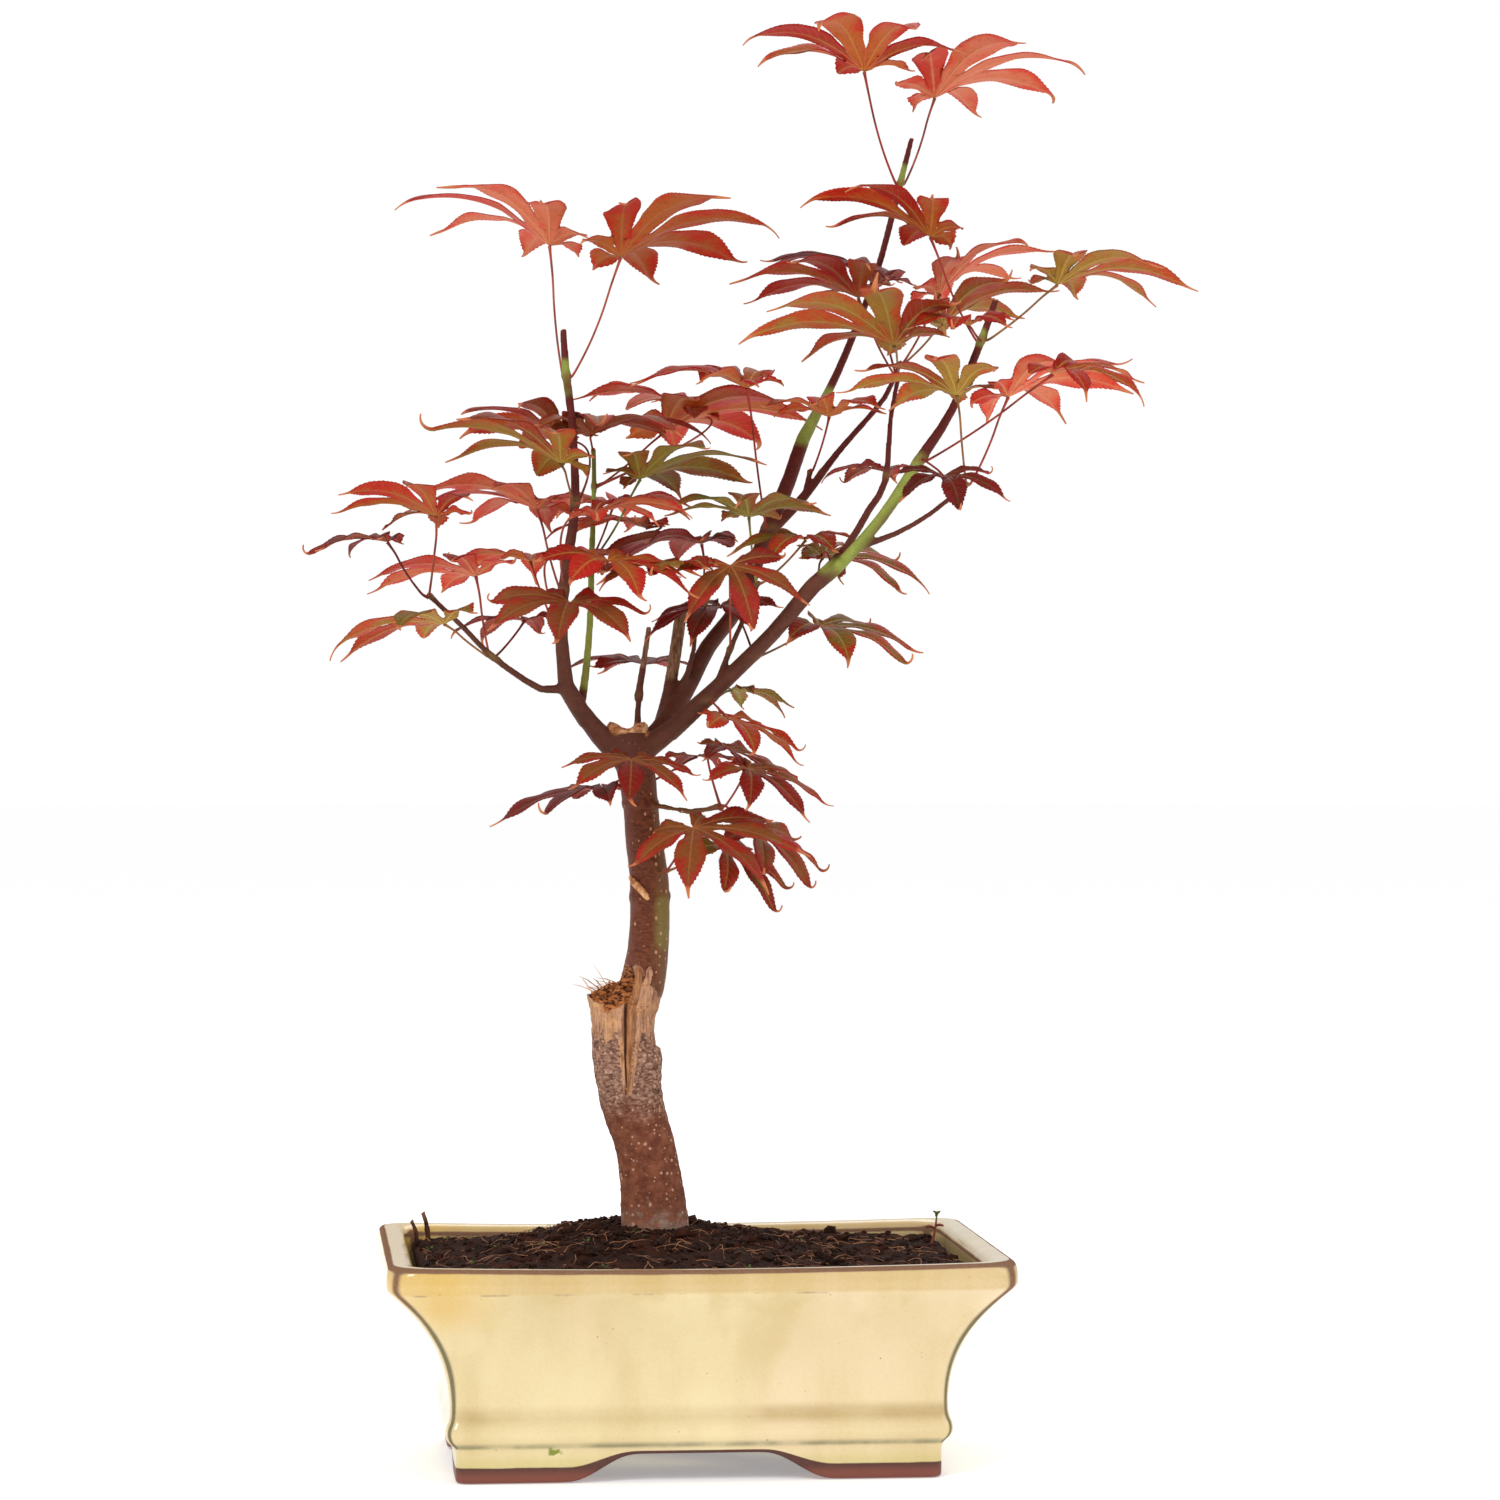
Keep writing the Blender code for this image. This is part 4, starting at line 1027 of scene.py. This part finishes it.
leader_tone = over(tree, leader_tone, (206, 158, 120), pores, 0.7)
colour = mixed(tree, between(tree, wander, 0.225, 0.255), leader_tone, shoot_tone)

# Old bark: pinkish grey with dark pits above, redder and smoother below, paler at the soil.
pitted = ramp(tree, fleck, 0.36, 0.66, (100, 64, 50), (176, 136, 114))
red_bark = ramp(tree, mottle, 0.35, 0.68, (106, 56, 38), (138, 82, 58))
red_bark = over(tree, red_bark, (168, 114, 88), between(tree, fleck, 0.5, 0.75), 0.35)
foot_bark = mixed(tree, fleck, shade(118, 86, 72), shade(178, 148, 130))
old_tone = mixed(tree, between(tree, wander, 0.114, 0.128), red_bark, pitted)
old_tone = mixed(tree, between(tree, wander, 0.088, 0.078), old_tone, foot_bark)
pits = placed(tree, grains, Place=where(tree, (1, 1, 1.6)), Scale=250, Size=0.5)["Mask"]
pits = times(tree, pits, between(tree, wander, 0.112, 0.13), between(tree, mottle, 0.4, 0.6))
old_tone = over(tree, old_tone, (76, 46, 34), pits, 0.7)
warts = placed(tree, grains, Place=place, Scale=520, Size=0.34)["Mask"]
old_tone = over(tree, old_tone, (208, 164, 138), warts, 0.7)
colour = mixed(tree, value_of(tree, "old_bark"), colour, old_tone)

# Torn and sawn wood: tan fibres, a browner split with dark edges, an orange rotten stump.
torn_tone = ramp(tree, fibre, 0.28, 0.7, (128, 82, 60), (198, 152, 120))
tan_patch = times(tree, between(tree, broad, 0.42, 0.6), between(tree, fleck, 0.3, 0.6))
torn_tone = over(tree, torn_tone, (218, 164, 108), tan_patch, 0.7)
split_tone = ramp(tree, fibre, 0.3, 0.68, (124, 74, 42), (178, 126, 84))
torn_tone = mixed(tree, between(tree, value_of(tree, "deep_wood"), 0.4, 0.8), torn_tone, split_tone)
fray = scaled(tree, fleck, 0.9, -0.45)
torn_mask = between(tree, maths(tree, "ADD", value_of(tree, "torn_wood"), fray), 0.42, 0.6)
colour = mixed(tree, torn_mask, colour, torn_tone)
colour = over(tree, colour, (72, 34, 20), between(tree, value_of(tree, "crack"), 0.25, 0.6))
sawn_tone = ramp(tree, fleck, 0.35, 0.65, (150, 98, 60), (222, 164, 112))
colour = mixed(tree, value_of(tree, "cut_wood"), colour, sawn_tone)
rotten_tone = ramp(tree, fleck, 0.4, 0.62, (62, 28, 16), (192, 118, 62))
colour = mixed(tree, between(tree, value_of(tree, "stump_cut"), 0.2, 0.5), colour, rotten_tone)
ring_mask = times(tree, value_of(tree, "ring"), between(tree, level, 0.24, 0.28))
colour = over(tree, colour, (128, 98, 56), ring_mask, 0.8)
dullness = scaled(tree, value_of(tree, "old_bark"), 0.25, 0.5)
bumps = scaled(tree, fleck, 0.7, times(tree, pits, -0.6))
dress(tree, shader, colour, scaled(tree, mottle, 0.15, dullness), relief(tree, bumps, 0.0005, 0.6), 0.22)
paint(wood, bark)
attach(wood, "root")
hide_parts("wood")

# ---- Splinters -----------------------------------------------------------------------------------
# Long wood hairs stand out of the broken stump, an old bud stub lies along the leader, and a ragged
# cap of callus stands round the cut at the fork.

SPLINTERS = 17
LONG_SPLINTERS = 7
STUMP_PLACE = ((-51, -43), (-3, 6), (160, 167))
# Old bud stub: places and radius, in millimetres.
BUD_STUB = ((-37.4, -2, 201.2, 0.7), (-36.2, -4.3, 199.4, 1.2), (-34, -5.9, 197, 1.25),
            (-32.2, -6.6, 194.8, 1.1), (-31.4, -6.2, 193.6, 0.6))
CALLUS_STEPS = 36
CALLUS_MIDDLE = (-38.2, 0.5, 251.6)
CALLUS_RADII = (6.9, 5.6)
# Share of the cap's radius, then height above the cut, in millimetres.
CALLUS_PROFILE = ((0.86, -1.2), (1.0, -0.4), (1.06, 0.7), (1.02, 1.9), (0.86, 2.7), (0.66, 2.5), (0.42, 1.5),
                  (0.15, 0.9))

splinter_rng = random.Random(5)
splinter_routes = []
for index in range(SPLINTERS):
    foot = Vector([splinter_rng.uniform(*reach) for reach in STUMP_PLACE]) * MM
    foot = cad_wood_tree.find_nearest(foot)[0]
    lean = Vector((splinter_rng.uniform(-1.6, -0.2), splinter_rng.uniform(-0.5, 0.3), 0.5)).normalized()
    length = splinter_rng.uniform(5, 9) * MM if index < LONG_SPLINTERS else splinter_rng.uniform(1.5, 3) * MM
    thick = splinter_rng.uniform(0.12, 0.26) * MM
    drop = Vector((0, 0, -splinter_rng.uniform(0.3, 1) * MM))
    splinter_routes.append([(foot - lean * MM, thick), (foot + lean * length * 0.5, thick * 0.8),
                            (foot + lean * length + drop, thick * 0.2)])
splinters = tubes("stump_splinters", splinter_routes)
stub_route = [(Vector(middle) * MM, radius * MM) for *middle, radius in BUD_STUB]
bud_stub = tubes("old_bud_stub", [stub_route], 2)

callus_places = []
for out, up in CALLUS_PROFILE:
    for step in range(CALLUS_STEPS):
        turn = math.tau * step / CALLUS_STEPS
        crown = 0.75 + 0.45 * math.cos(2 * turn + 0.5)
        crown += 0.3 * noise.noise((math.cos(turn) * 2, math.sin(turn) * 2, 4))
        reach = out + 0.09 * noise.fractal((math.cos(turn) * 3, math.sin(turn) * 3, up), 0.7, 2, 3)
        callus_places.append(((CALLUS_MIDDLE[0] + CALLUS_RADII[0] * reach * math.cos(turn)) * MM,
                              (CALLUS_MIDDLE[1] + CALLUS_RADII[1] * reach * math.sin(turn)) * MM,
                              (CALLUS_MIDDLE[2] + (up * crown if up > 0 else up)) * MM))
callus = new_piece("fork_callus", callus_places, skin([[0] * CALLUS_STEPS] * len(CALLUS_PROFILE)))
close_ends(callus)

bare_wood, tree, shader = finish_named("bare_maple_wood")
place = where(tree)
tone = cloud(tree, where(tree, (1, 1, 0.4)), 700, 3)
colour = ramp(tree, tone, 0.3, 0.7, (176, 112, 66), (230, 178, 126))
stained = between(tree, cloud(tree, place, 420, 2), 0.52, 0.66)
colour = over(tree, colour, (126, 62, 38), stained, 0.7)
dress(tree, shader, colour, scaled(tree, tone, 0.2, 0.6), relief(tree, tone, 0.0005, 0.6), 0.25)
for piece in (splinters, bud_stub, callus):
    paint(piece, bare_wood)
    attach(piece, "root")

# ---- Leaves --------------------------------------------------------------------------------------
# Thin palmate blades of five or seven saw-edged lobes, each on a thread-like stalk. Every lobe has
# a pale sunken midrib and side veins, and many end in a dry, curled, tan tip.

BLADE_THICK = 0.28 * MM
COLUMNS = (-1, -0.74, -0.45, -0.18, 0, 0.18, 0.45, 0.74, 1)
TOOTH = 1.55 * MM
WEB_STEPS = 5
TAIL_START = 0.87
TAIL_STEPS = 9
TOOTH_OUT = 0.36 * MM
TOOTH_AHEAD = 0.34 * MM
VEIN_SINK = 0.35 * MM
# Web between the lobes: how far towards each sinus it reaches, and its outer corners by the stalk.
WEB_REACH = (0.55, 0.75)
WEB_CORNER_TURN = math.radians(32)
WEB_CORNER_OUT = 0.42
WEB_LIMIT = 0.36
# Share of the lobe's length, then share of its greatest half width.
LOBE_WIDTHS = ((0, 0.24), (0.2, 0.42), (0.34, 0.7), (0.5, 0.93), (0.62, 0.92), (0.74, 0.68), (0.83, 0.38),
               (0.9, 0.14), (0.95, 0.07), (1, 0.02))
# Finishes of a leaf: blade and margin colours seen from above, then from below, then vein and stalk.
# The colours from below are paler: the underside's own tone with painted light shining through it.
TINTS = {
    "ember": ((156, 78, 26), (176, 26, 10), (196, 98, 38), (204, 46, 20), (214, 152, 66), (166, 58, 42)),
    "rose": ((172, 84, 52), (184, 38, 24), (214, 112, 76), (216, 66, 42), (228, 156, 104), (176, 80, 64)),
    "olive": ((116, 90, 26), (162, 44, 16), (164, 120, 46), (194, 76, 34), (202, 174, 78), (156, 106, 60)),
    "russet": ((128, 70, 28), (156, 32, 16), (176, 90, 38), (190, 46, 24), (184, 120, 64), (164, 74, 50)),
    "wine": ((98, 38, 22), (122, 18, 12), (144, 62, 32), (160, 32, 22), (152, 86, 54), (134, 48, 38)),
    "green": ((96, 100, 32), (130, 62, 24), (158, 134, 54), (172, 96, 42), (192, 186, 86), (150, 144, 66)),
}
TINT_OF = {
    "rose": ("crown_2", "left_top_1", "left_low_1", "near_left_1", "green_low_3", "left_rose", "right_low_2",
             "side_tip_1", "green_back", "left_under", "green_inner"),
    "olive": ("left_mid_1", "near_left_2", "right_top_2", "right_arm_1", "elbow_1", "dark_tip_3",
              "twig_tip_2", "low_2", "side_tip_2", "middle_front", "right_low_1"),
    "russet": ("left_base_1", "leader_1", "front_1", "low_1", "dark_tip_2", "twig_mid_1", "front_upper",
               "far_left_1", "green_low_2", "green_tip_1", "front_2", "left_back", "left_top_2"),
    "wine": ("far_left_2", "near_left_3", "inner_1", "dark_mid_1", "leader_2", "leader_3", "right_bend_2",
             "dead_knot_1", "dark_tip_1", "middle_low"),
    "green": ("twig_tip_1", "right_fork_2", "green_low_1"),
}


def lobe_length(lobe, hub):
    """How long a lobe is, from the hub by its widest place to its tip."""
    return (lobe["rib"] - hub).length + (lobe["tip"] - lobe["rib"]).length


def lobe_width(lobe, share):
    """Half width of a lobe at a share of its length."""
    return np.interp(share, *zip(*LOBE_WIDTHS)) * lobe["half_width"]


def strip_faces(before, after):
    """Faces between two rows of vertex numbers."""
    return [(before[i], after[i], after[i + 1], before[i + 1]) for i in range(len(after) - 1)]


def lobe_row(lobe, hub, up, share, roll):
    """Midrib point of a lobe at a share of its length, with the way on, the left side and the way up."""
    rib, tip = lobe["rib"] - hub, lobe["tip"] - hub
    bend = (rib - tip * 0.55) / (0.55 ** 2 - 0.55)
    pull = tip - bend
    ahead = (pull + 2 * bend * share).normalized()
    left = up.cross(ahead).normalized()
    turned = Matrix.Rotation(roll * share, 3, ahead) @ left
    return hub + pull * share + bend * share * share, ahead, turned, ahead.cross(turned)


def lobe_rows(lobe, hub, up, start, rng):
    """Rows of a lobe beyond its sinuses: midrib point, axes, half width, tooth and share of length."""
    length = lobe_length(lobe, hub)
    roll = rng.gauss(0, 0.3)
    teeth = max(4, round((TAIL_START - start) * length / TOOTH))
    rows = []
    for step in range(1, 3 * teeth + 1):
        share = start + (TAIL_START - start) * step / (3 * teeth)
        width = lobe_width(lobe, share)
        bite = (0.0, 0.5, 1.0)[step % 3] * min(1, (share - start) / 0.1)
        rows.append((*lobe_row(lobe, hub, up, share, roll), width, bite * rng.uniform(0.8, 1.25), share))
    point, ahead, left, above = lobe_row(lobe, hub, up, TAIL_START, roll)
    curl = rng.choice((-0.5, 0.1, 0.2, 0.4, 0.7, 2.3)) * rng.uniform(0.7, 1.2)
    swerve = rng.gauss(0, 0.5)
    stride = length * (1 - TAIL_START) * 1.15 / TAIL_STEPS
    for step in range(1, TAIL_STEPS + 1):
        turn = Matrix.Rotation(-curl / TAIL_STEPS, 3, left) @ Matrix.Rotation(swerve / TAIL_STEPS, 3, above)
        ahead, left, above = turn @ ahead, turn @ left, turn @ above
        point = point + ahead * stride
        share = TAIL_START + (1 - TAIL_START) * step / TAIL_STEPS
        width = lobe_width(lobe, share)
        rows.append((point, ahead, left, above, width + 0.1 * MM, 0, share))
    return rows


def leaf_piece(node, name, rng):
    """A leaf's blade as one mesh: upper skin, lower skin and the saw edge between them."""
    found = bones[node]
    hub, up, lobes = found["hub"], found["up"], found["lobes"]
    places, faces, values = [hub.copy()], [], [(0, 0, 0, 0, 0)]
    bounds = []
    inner = [hub + (sinus - hub) * rng.uniform(*WEB_REACH) for sinus in found["sinuses"]]
    for side, lobe in ((-1, lobes[0]), (1, lobes[-1])):
        out = (lobe["rib"] - hub) * WEB_CORNER_OUT
        corner = hub + Matrix.Rotation(side * WEB_CORNER_TURN, 3, up) @ out
        inner.insert(0 if side < 0 else len(inner), corner)
    for corner in inner:
        row = [0]
        for step in range(1, WEB_STEPS + 1):
            row.append(len(places))
            places.append(hub.lerp(corner, step / WEB_STEPS))
            values.append((0, 0, 1, 0, 0))
        bounds.append(row)
    for index, lobe in enumerate(lobes):
        right, left = bounds[index], bounds[index + 1]
        start = ((inner[index] - hub).length + (inner[index + 1] - hub).length) / 2 / lobe_length(lobe, hub)
        start = min(WEB_LIMIT, start * 0.96)
        previous = None
        tone = rng.uniform(-1, 1)
        for step in range(1, WEB_STEPS + 1):
            point, _, _, above = lobe_row(lobe, hub, up, start * step / WEB_STEPS, 0)
            row = []
            for column in COLUMNS:
                side = places[left[step]] if column > 0 else places[right[step]]
                if abs(column) == 1:
                    row.append(left[step] if column > 0 else right[step])
                    continue
                share = abs(column)
                sink = -above * VEIN_SINK * (1 - min(1, share / 0.3)) * step / WEB_STEPS
                row.append(len(places))
                places.append(point.lerp(side, share) + sink)
                values.append(((point - hub).length, share * (side - point).length, share,
                               start * step / WEB_STEPS, tone * step / WEB_STEPS))
            if previous is None:
                faces += [(0, row[i], row[i + 1]) for i in range(len(row) - 1)]
            else:
                faces += strip_faces(previous, row)
            previous = row
        opening = [(places[side[-1]] - point).length for side in (right, left)]
        fold, ruffle, phase = rng.uniform(0.12, 0.34), rng.uniform(0.2, 0.55) * MM, rng.uniform(0, 6)
        for point, ahead, across, above, width, bite, share in lobe_rows(lobe, hub, up, start, rng):
            grown = min(1, (share - start) / 0.16)
            row = []
            for column in COLUMNS:
                first = opening[1] if column > 0 else opening[0]
                reach = first + (width - first) * grown * grown * (3 - 2 * grown)
                out = abs(column) * reach
                lift = fold * grown * out - 0.5 * fold * grown * abs(column) * out
                lift += ruffle * column * column * math.sin(phase + 16 * share + column) * min(1, width / MM)
                lift += VEIN_SINK * (grown * min(1, abs(column) / 0.3) * min(1, width / MM) - 1)
                forward = Vector()
                if abs(column) == 1:
                    out += bite * TOOTH_OUT * min(1, reach / (2.5 * MM))
                    forward = ahead * bite * TOOTH_AHEAD
                row.append(len(places))
                places.append(point + across * math.copysign(out, column) + above * lift + forward)
                values.append(((point - hub).length, out, abs(column), share, tone))
            faces += strip_faces(previous, row)
            previous = row
    count = len(places)
    top = bpy.data.meshes.new(name)
    top.from_pydata(places, [], faces)
    skyward = [Vector(normal.vector) for normal in top.vertex_normals]
    sense = 1 if sum(normal.dot(up) for normal in skyward) > 0 else -1
    bpy.data.meshes.remove(top)
    if sense < 0:
        faces = [face[::-1] for face in faces]
    borders = {}
    for face in faces:
        for a, b in zip(face, face[1:] + face[:1]):
            borders[(a, b)] = True
    places += [place - normal * sense * BLADE_THICK for place, normal in zip(places, skyward)]
    kinds = [0] * len(faces) + [1] * len(faces)
    faces += [tuple(count + i for i in face[::-1]) for face in faces]
    rims = [(b, a, a + count, b + count) for a, b in borders if (b, a) not in borders]
    faces += rims
    kinds += [0] * len(rims)
    values += values
    piece = new_piece(name, places, faces)
    piece.data.polygons.foreach_set("material_index", kinds)
    for index, label in enumerate(("vein_along", "vein_across", "margin", "reach", "lobe_tone")):
        set_values(piece, label, [row[index] for row in values])
    return piece


def stalk_route(node):
    """The stalk's line from just under the hub to its swollen foot, set in the wood."""
    found = bones[node]
    foot = stalk_feet[node]
    sunk_foot = foot + (foot - found["stalk"][-1]).normalized() * 0.6 * MM
    knots = [found["hub"] - found["up"] * 0.3 * MM, *found["stalk"], sunk_foot]
    route = []
    for index in range(len(knots) - 1):
        before, start = knots[max(0, index - 1)], knots[index]
        end, after = knots[index + 1], knots[min(len(knots) - 1, index + 2)]
        for step in range(4):
            t = step / 4
            bend = 2 * before - 5 * start + 4 * end - after
            twist = 3 * start - before - 3 * end + after
            route.append((2 * start + (end - before) * t + bend * t * t + twist * t ** 3) / 2)
    route.append(knots[-1])
    last_index = len(route) - 1
    radii = [0.38 + 0.3 * math.exp(-3.0 * index / 4) + 0.5 * math.exp(-(last_index - index) / 2.2)
             for index in range(len(route))]
    return [(point, radius * MM) for point, radius in zip(route, radii)]


# Blade colour: olive by the hub, redder to the margins and tips, patchy flesh, pale veins and a dry
# tip. The values come from each leaf, and every lobe has a tone of its own.
blade_look, look_in, look_out = group_named(
    "palmate_blade", [("Blade", "Color"), ("Margin", "Color"), ("Vein", "Color")],
    [("Color", "Color"), ("Height", "Float"), ("Dry", "Float")])
across_vein = value_of(blade_look, "vein_across")
along_vein = value_of(blade_look, "vein_along")
margin = value_of(blade_look, "margin")
reach = value_of(blade_look, "reach")
lobe_tone = value_of(blade_look, "lobe_tone")
spot_place = where(blade_look)
patchy = cloud(blade_look, spot_place, 75, 3, 0.6)
grainy = cloud(blade_look, spot_place, 700, 3, 0.6)
midrib = between(blade_look, across_vein, 0.00055, 0.00018)
sprung = maths(blade_look, "SUBTRACT", along_vein, times(blade_look, across_vein, 1.25))
stripe = maths(blade_look, "PINGPONG", sprung, 0.0017)
side_vein = between(blade_look, stripe, 0.00022, 0.00004)
side_vein = times(blade_look, side_vein, between(blade_look, margin, 0.95, 0.35))
redness = scaled(blade_look, margin, 0.45, scaled(blade_look, patchy, 2.4, -1.3))
redness = maths(blade_look, "ADD", redness, times(blade_look, reach, 0.6))
redness = scaled(blade_look, lobe_tone, 0.22, redness)
tone = mixed(blade_look, between(blade_look, redness, 0.1, 0.8), look_in["Blade"], look_in["Margin"])
shadowed = times(blade_look, between(blade_look, lobe_tone, 0.1, 0.9), 0.6)
tone = mixed(blade_look, shadowed, tone, look_in["Margin"], "MULTIPLY")
freckle = times(blade_look, between(blade_look, grainy, 0.5, 0.75), 0.28)
tone = over(blade_look, tone, (52, 20, 12), freckle)
tone = mixed(blade_look, times(blade_look, side_vein, 0.26), tone, look_in["Vein"])
rib_share = scaled(blade_look, reach, -0.4, 0.56)
tone = mixed(blade_look, times(blade_look, midrib, rib_share), tone, look_in["Vein"])
dry_edge = scaled(blade_look, patchy, 0.1, reach)
dry = between(blade_look, dry_edge, 0.93, 0.985)
blade_look.links.new(over(blade_look, tone, (204, 120, 78), dry), look_out["Color"])
blade_look.links.new(dry, look_out["Dry"])
swell = scaled(blade_look, side_vein, -0.5, times(blade_look, midrib, -1))
blade_look.links.new(scaled(blade_look, grainy, 0.25, swell), look_out["Height"])


def blade_finish(name, blade, margin_colour, vein, bump):
    """The finish of one side of a blade."""
    made, tree, shader = finish_named(name)
    look = placed(tree, blade_look, Blade=shade(*blade), Margin=shade(*margin_colour), Vein=shade(*vein))
    dress(tree, shader, look["Color"], scaled(tree, look["Dry"], 0.2, 0.6),
          relief(tree, look["Height"], bump, 0.6), 0.22)
    return made


leaf_finishes = {}
for tint, (above, above_margin, below, below_margin, vein, stalk) in TINTS.items():
    upper = blade_finish("leaf_upper_" + tint, above, above_margin, vein, 0.0003)
    # The under side is paler: its own tone with painted light shining through the blade.
    under = blade_finish("leaf_under_backlit_" + tint, below, below_margin, vein, -0.0003)
    darker = [round(level * 0.72) for level in stalk]
    stem, shader = two_tone("leaf_stalk_" + tint, stalk, darker, 140, (0.2, 0.45), low=0.35, high=0.65)
    shader.inputs["Specular IOR Level"].default_value = 0.22
    leaf_finishes[tint] = (upper, under, stem)

tint_of_leaf = {"leaf_" + key: tint for tint, keys in TINT_OF.items() for key in keys}
for index, node in enumerate(bones):
    rng = random.Random(100 + index)
    leaf = leaf_piece(node, "maple_" + node, rng)
    stalk = tubes(node + "_stalk", [stalk_route(node)], 2)
    tint = tint_of_leaf.get(node, "ember")
    upper, under, stem = leaf_finishes[tint]
    leaf.data.materials.append(upper)
    leaf.data.materials.append(under)
    paint(stalk, stem)
    for piece in (leaf, stalk):
        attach(piece, "root")
    if node in leaf_nodes:
        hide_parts(node)

# ---- Dead sticks ---------------------------------------------------------------------------------
# Two short broken twigs stand in the soil in the back left corner: dry wood with cracked dark bark
# and a paler broken tip.

stick_finish, tree, shader = finish_named("dry_twig")
cracks = cloud(tree, where(tree, (1, 1, 0.2)), 900, 3, 0.7)
colour = ramp(tree, cracks, 0.35, 0.65, (40, 22, 16), (98, 62, 44))
near_tip = between(tree, axis_of(tree, where(tree), "Z"), 0.0765, 0.0785)
colour = over(tree, colour, (150, 112, 80), near_tip, 0.5)
dress(tree, shader, colour, scaled(tree, cracks, 0.2, 0.7), relief(tree, cracks, 0.0003, 0.8), 0.15)

STICK_RINGS = 14
STICK_STEPS = 14
STICK_SWAY = Vector((-0.25, 0.2, 0)) * MM
for node, lean, foot_radius in (("dead_stick_long", 0.3, 1.15), ("dead_stick_short", 0.38, 1.0)):
    low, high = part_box(node)
    foot = Vector((high.x - foot_radius * MM, (low.y + high.y) / 2, low.z - 2.5 * MM))
    tip = Vector((low.x + 0.5 * MM, (low.y + high.y) / 2 + 0.4 * MM, high.z - 0.3 * MM))
    stick_places = []
    for ring_index in range(STICK_RINGS + 1):
        share = ring_index / STICK_RINGS
        middle = foot.lerp(tip, share) + STICK_SWAY * math.sin(7 * share)
        for step in range(STICK_STEPS):
            turn = math.tau * step / STICK_STEPS
            crack = noise.fractal((math.cos(turn) * 2, math.sin(turn) * 2, share * 3 + lean * 9), 0.7, 2, 3)
            radius = foot_radius * (1 - 0.42 * share) * (1 + 0.28 * crack) * MM
            slant = lean * 1.6 * MM * math.cos(turn) * (ring_index == STICK_RINGS)
            stick_places.append(middle + Vector((math.cos(turn) * radius, math.sin(turn) * radius, slant)))
    stick = new_piece("dry_" + node, stick_places, skin([[0] * STICK_STEPS] * (STICK_RINGS + 1)))
    close_ends(stick)
    paint(stick, stick_finish)
    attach(stick, "root")
    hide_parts(node)

# ---- Weed seedling -------------------------------------------------------------------------------
# A seedling has come up in the back right corner: a red thread of a stem, two dull red seed leaves
# half way up, and a tuft of small green leaves at its tip.

STEM_STEPS = 8
SEED_LEAF_STEPS = 8
# Share of the stem's height, heading and rise in radians, length and width in millimetres.
LEAVES_OF_SEEDLING = ((0.55, 3.3, 0.15, 3.1, 2.1), (0.6, -0.15, 0.1, 3.2, 2.2), (0.97, 2.6, 0.9, 2.3, 1.8),
                      (0.97, 0.6, 0.7, 2.5, 1.9), (1, 4.5, 0.5, 2.4, 1.9), (0.95, 5.5, 0.9, 2.1, 1.7))
stem_low, stem_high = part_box("weed_seedling")
seed_foot = Vector(((stem_low.x + stem_high.x) / 2, stem_high.y - 1.6 * MM, stem_low.z - 1.5 * MM))
seed_top = Vector((seed_foot.x + 1.8 * MM, seed_foot.y - 0.3 * MM, stem_high.z - 0.9 * MM))
stem_route = []
for step in range(STEM_STEPS + 1):
    share = step / STEM_STEPS
    sway = Vector((0.3, 0, 0)) * MM * math.sin(math.pi * share)
    stem_route.append((seed_foot.lerp(seed_top, share) + sway, (0.5 - 0.2 * share) * MM))


def seed_leaf(base, heading, rise, length, width):
    """A small spoon-shaped leaf: rows of points from its stalk to its round tip."""
    ahead = aim(heading) * math.cos(rise) + Vector((0, 0, math.sin(rise)))
    across = aim(heading + math.pi / 2)
    above = ahead.cross(across)
    rows = []
    for step in range(SEED_LEAF_STEPS + 1):
        share = step / SEED_LEAF_STEPS
        half = width * (0.12 + 0.88 * math.sin(math.pi * min(1, share ** 1.3)) ** 0.8) * 0.5
        if step == SEED_LEAF_STEPS:
            half = width * 0.1
        for column in (-1, -0.5, 0, 0.5, 1):
            cup = 0.3 * width * column * column + 0.12 * length * math.sin(math.pi * share)
            rows.append(base + ahead * length * share + across * half * column + above * cup)
    return rows


seed_places, seed_faces = [], []
for height_share, heading, rise, length, width in LEAVES_OF_SEEDLING:
    start = len(seed_places)
    seed_places += seed_leaf(seed_foot.lerp(seed_top, height_share), heading, rise, length * MM, width * MM)
    seed_faces += grid_faces(SEED_LEAF_STEPS, 4, start)
seed_leaves = new_piece("seedling_leaves", seed_places, seed_faces)
thicken = seed_leaves.modifiers.new("thicken", "SOLIDIFY")
thicken.thickness = 0.22 * MM
thicken.offset = 0
settle(seed_leaves)
seed_stem = tubes("seedling_stem", [stem_route], 2)
seed_finish, tree, shader = finish_named("seedling_flesh")
place = where(tree)
tone = cloud(tree, place, 500, 3)
rising = scaled(tree, tone, 0.0015, axis_of(tree, place, "Z"))
green_tone = mixed(tree, tone, shade(70, 84, 40), shade(120, 130, 70))
red_tone = mixed(tree, tone, shade(112, 40, 34), shade(160, 84, 72))
tuft = between(tree, rising, seed_top.z - 0.0015, seed_top.z - 0.0002)
dress(tree, shader, mixed(tree, tuft, red_tone, green_tone), scaled(tree, tone, 0.2, 0.5), specular=0.25)
for piece in (seed_leaves, seed_stem):
    paint(piece, seed_finish)
    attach(piece, "root")
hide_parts("weed_seedling")

bpy.context.view_layer.update()
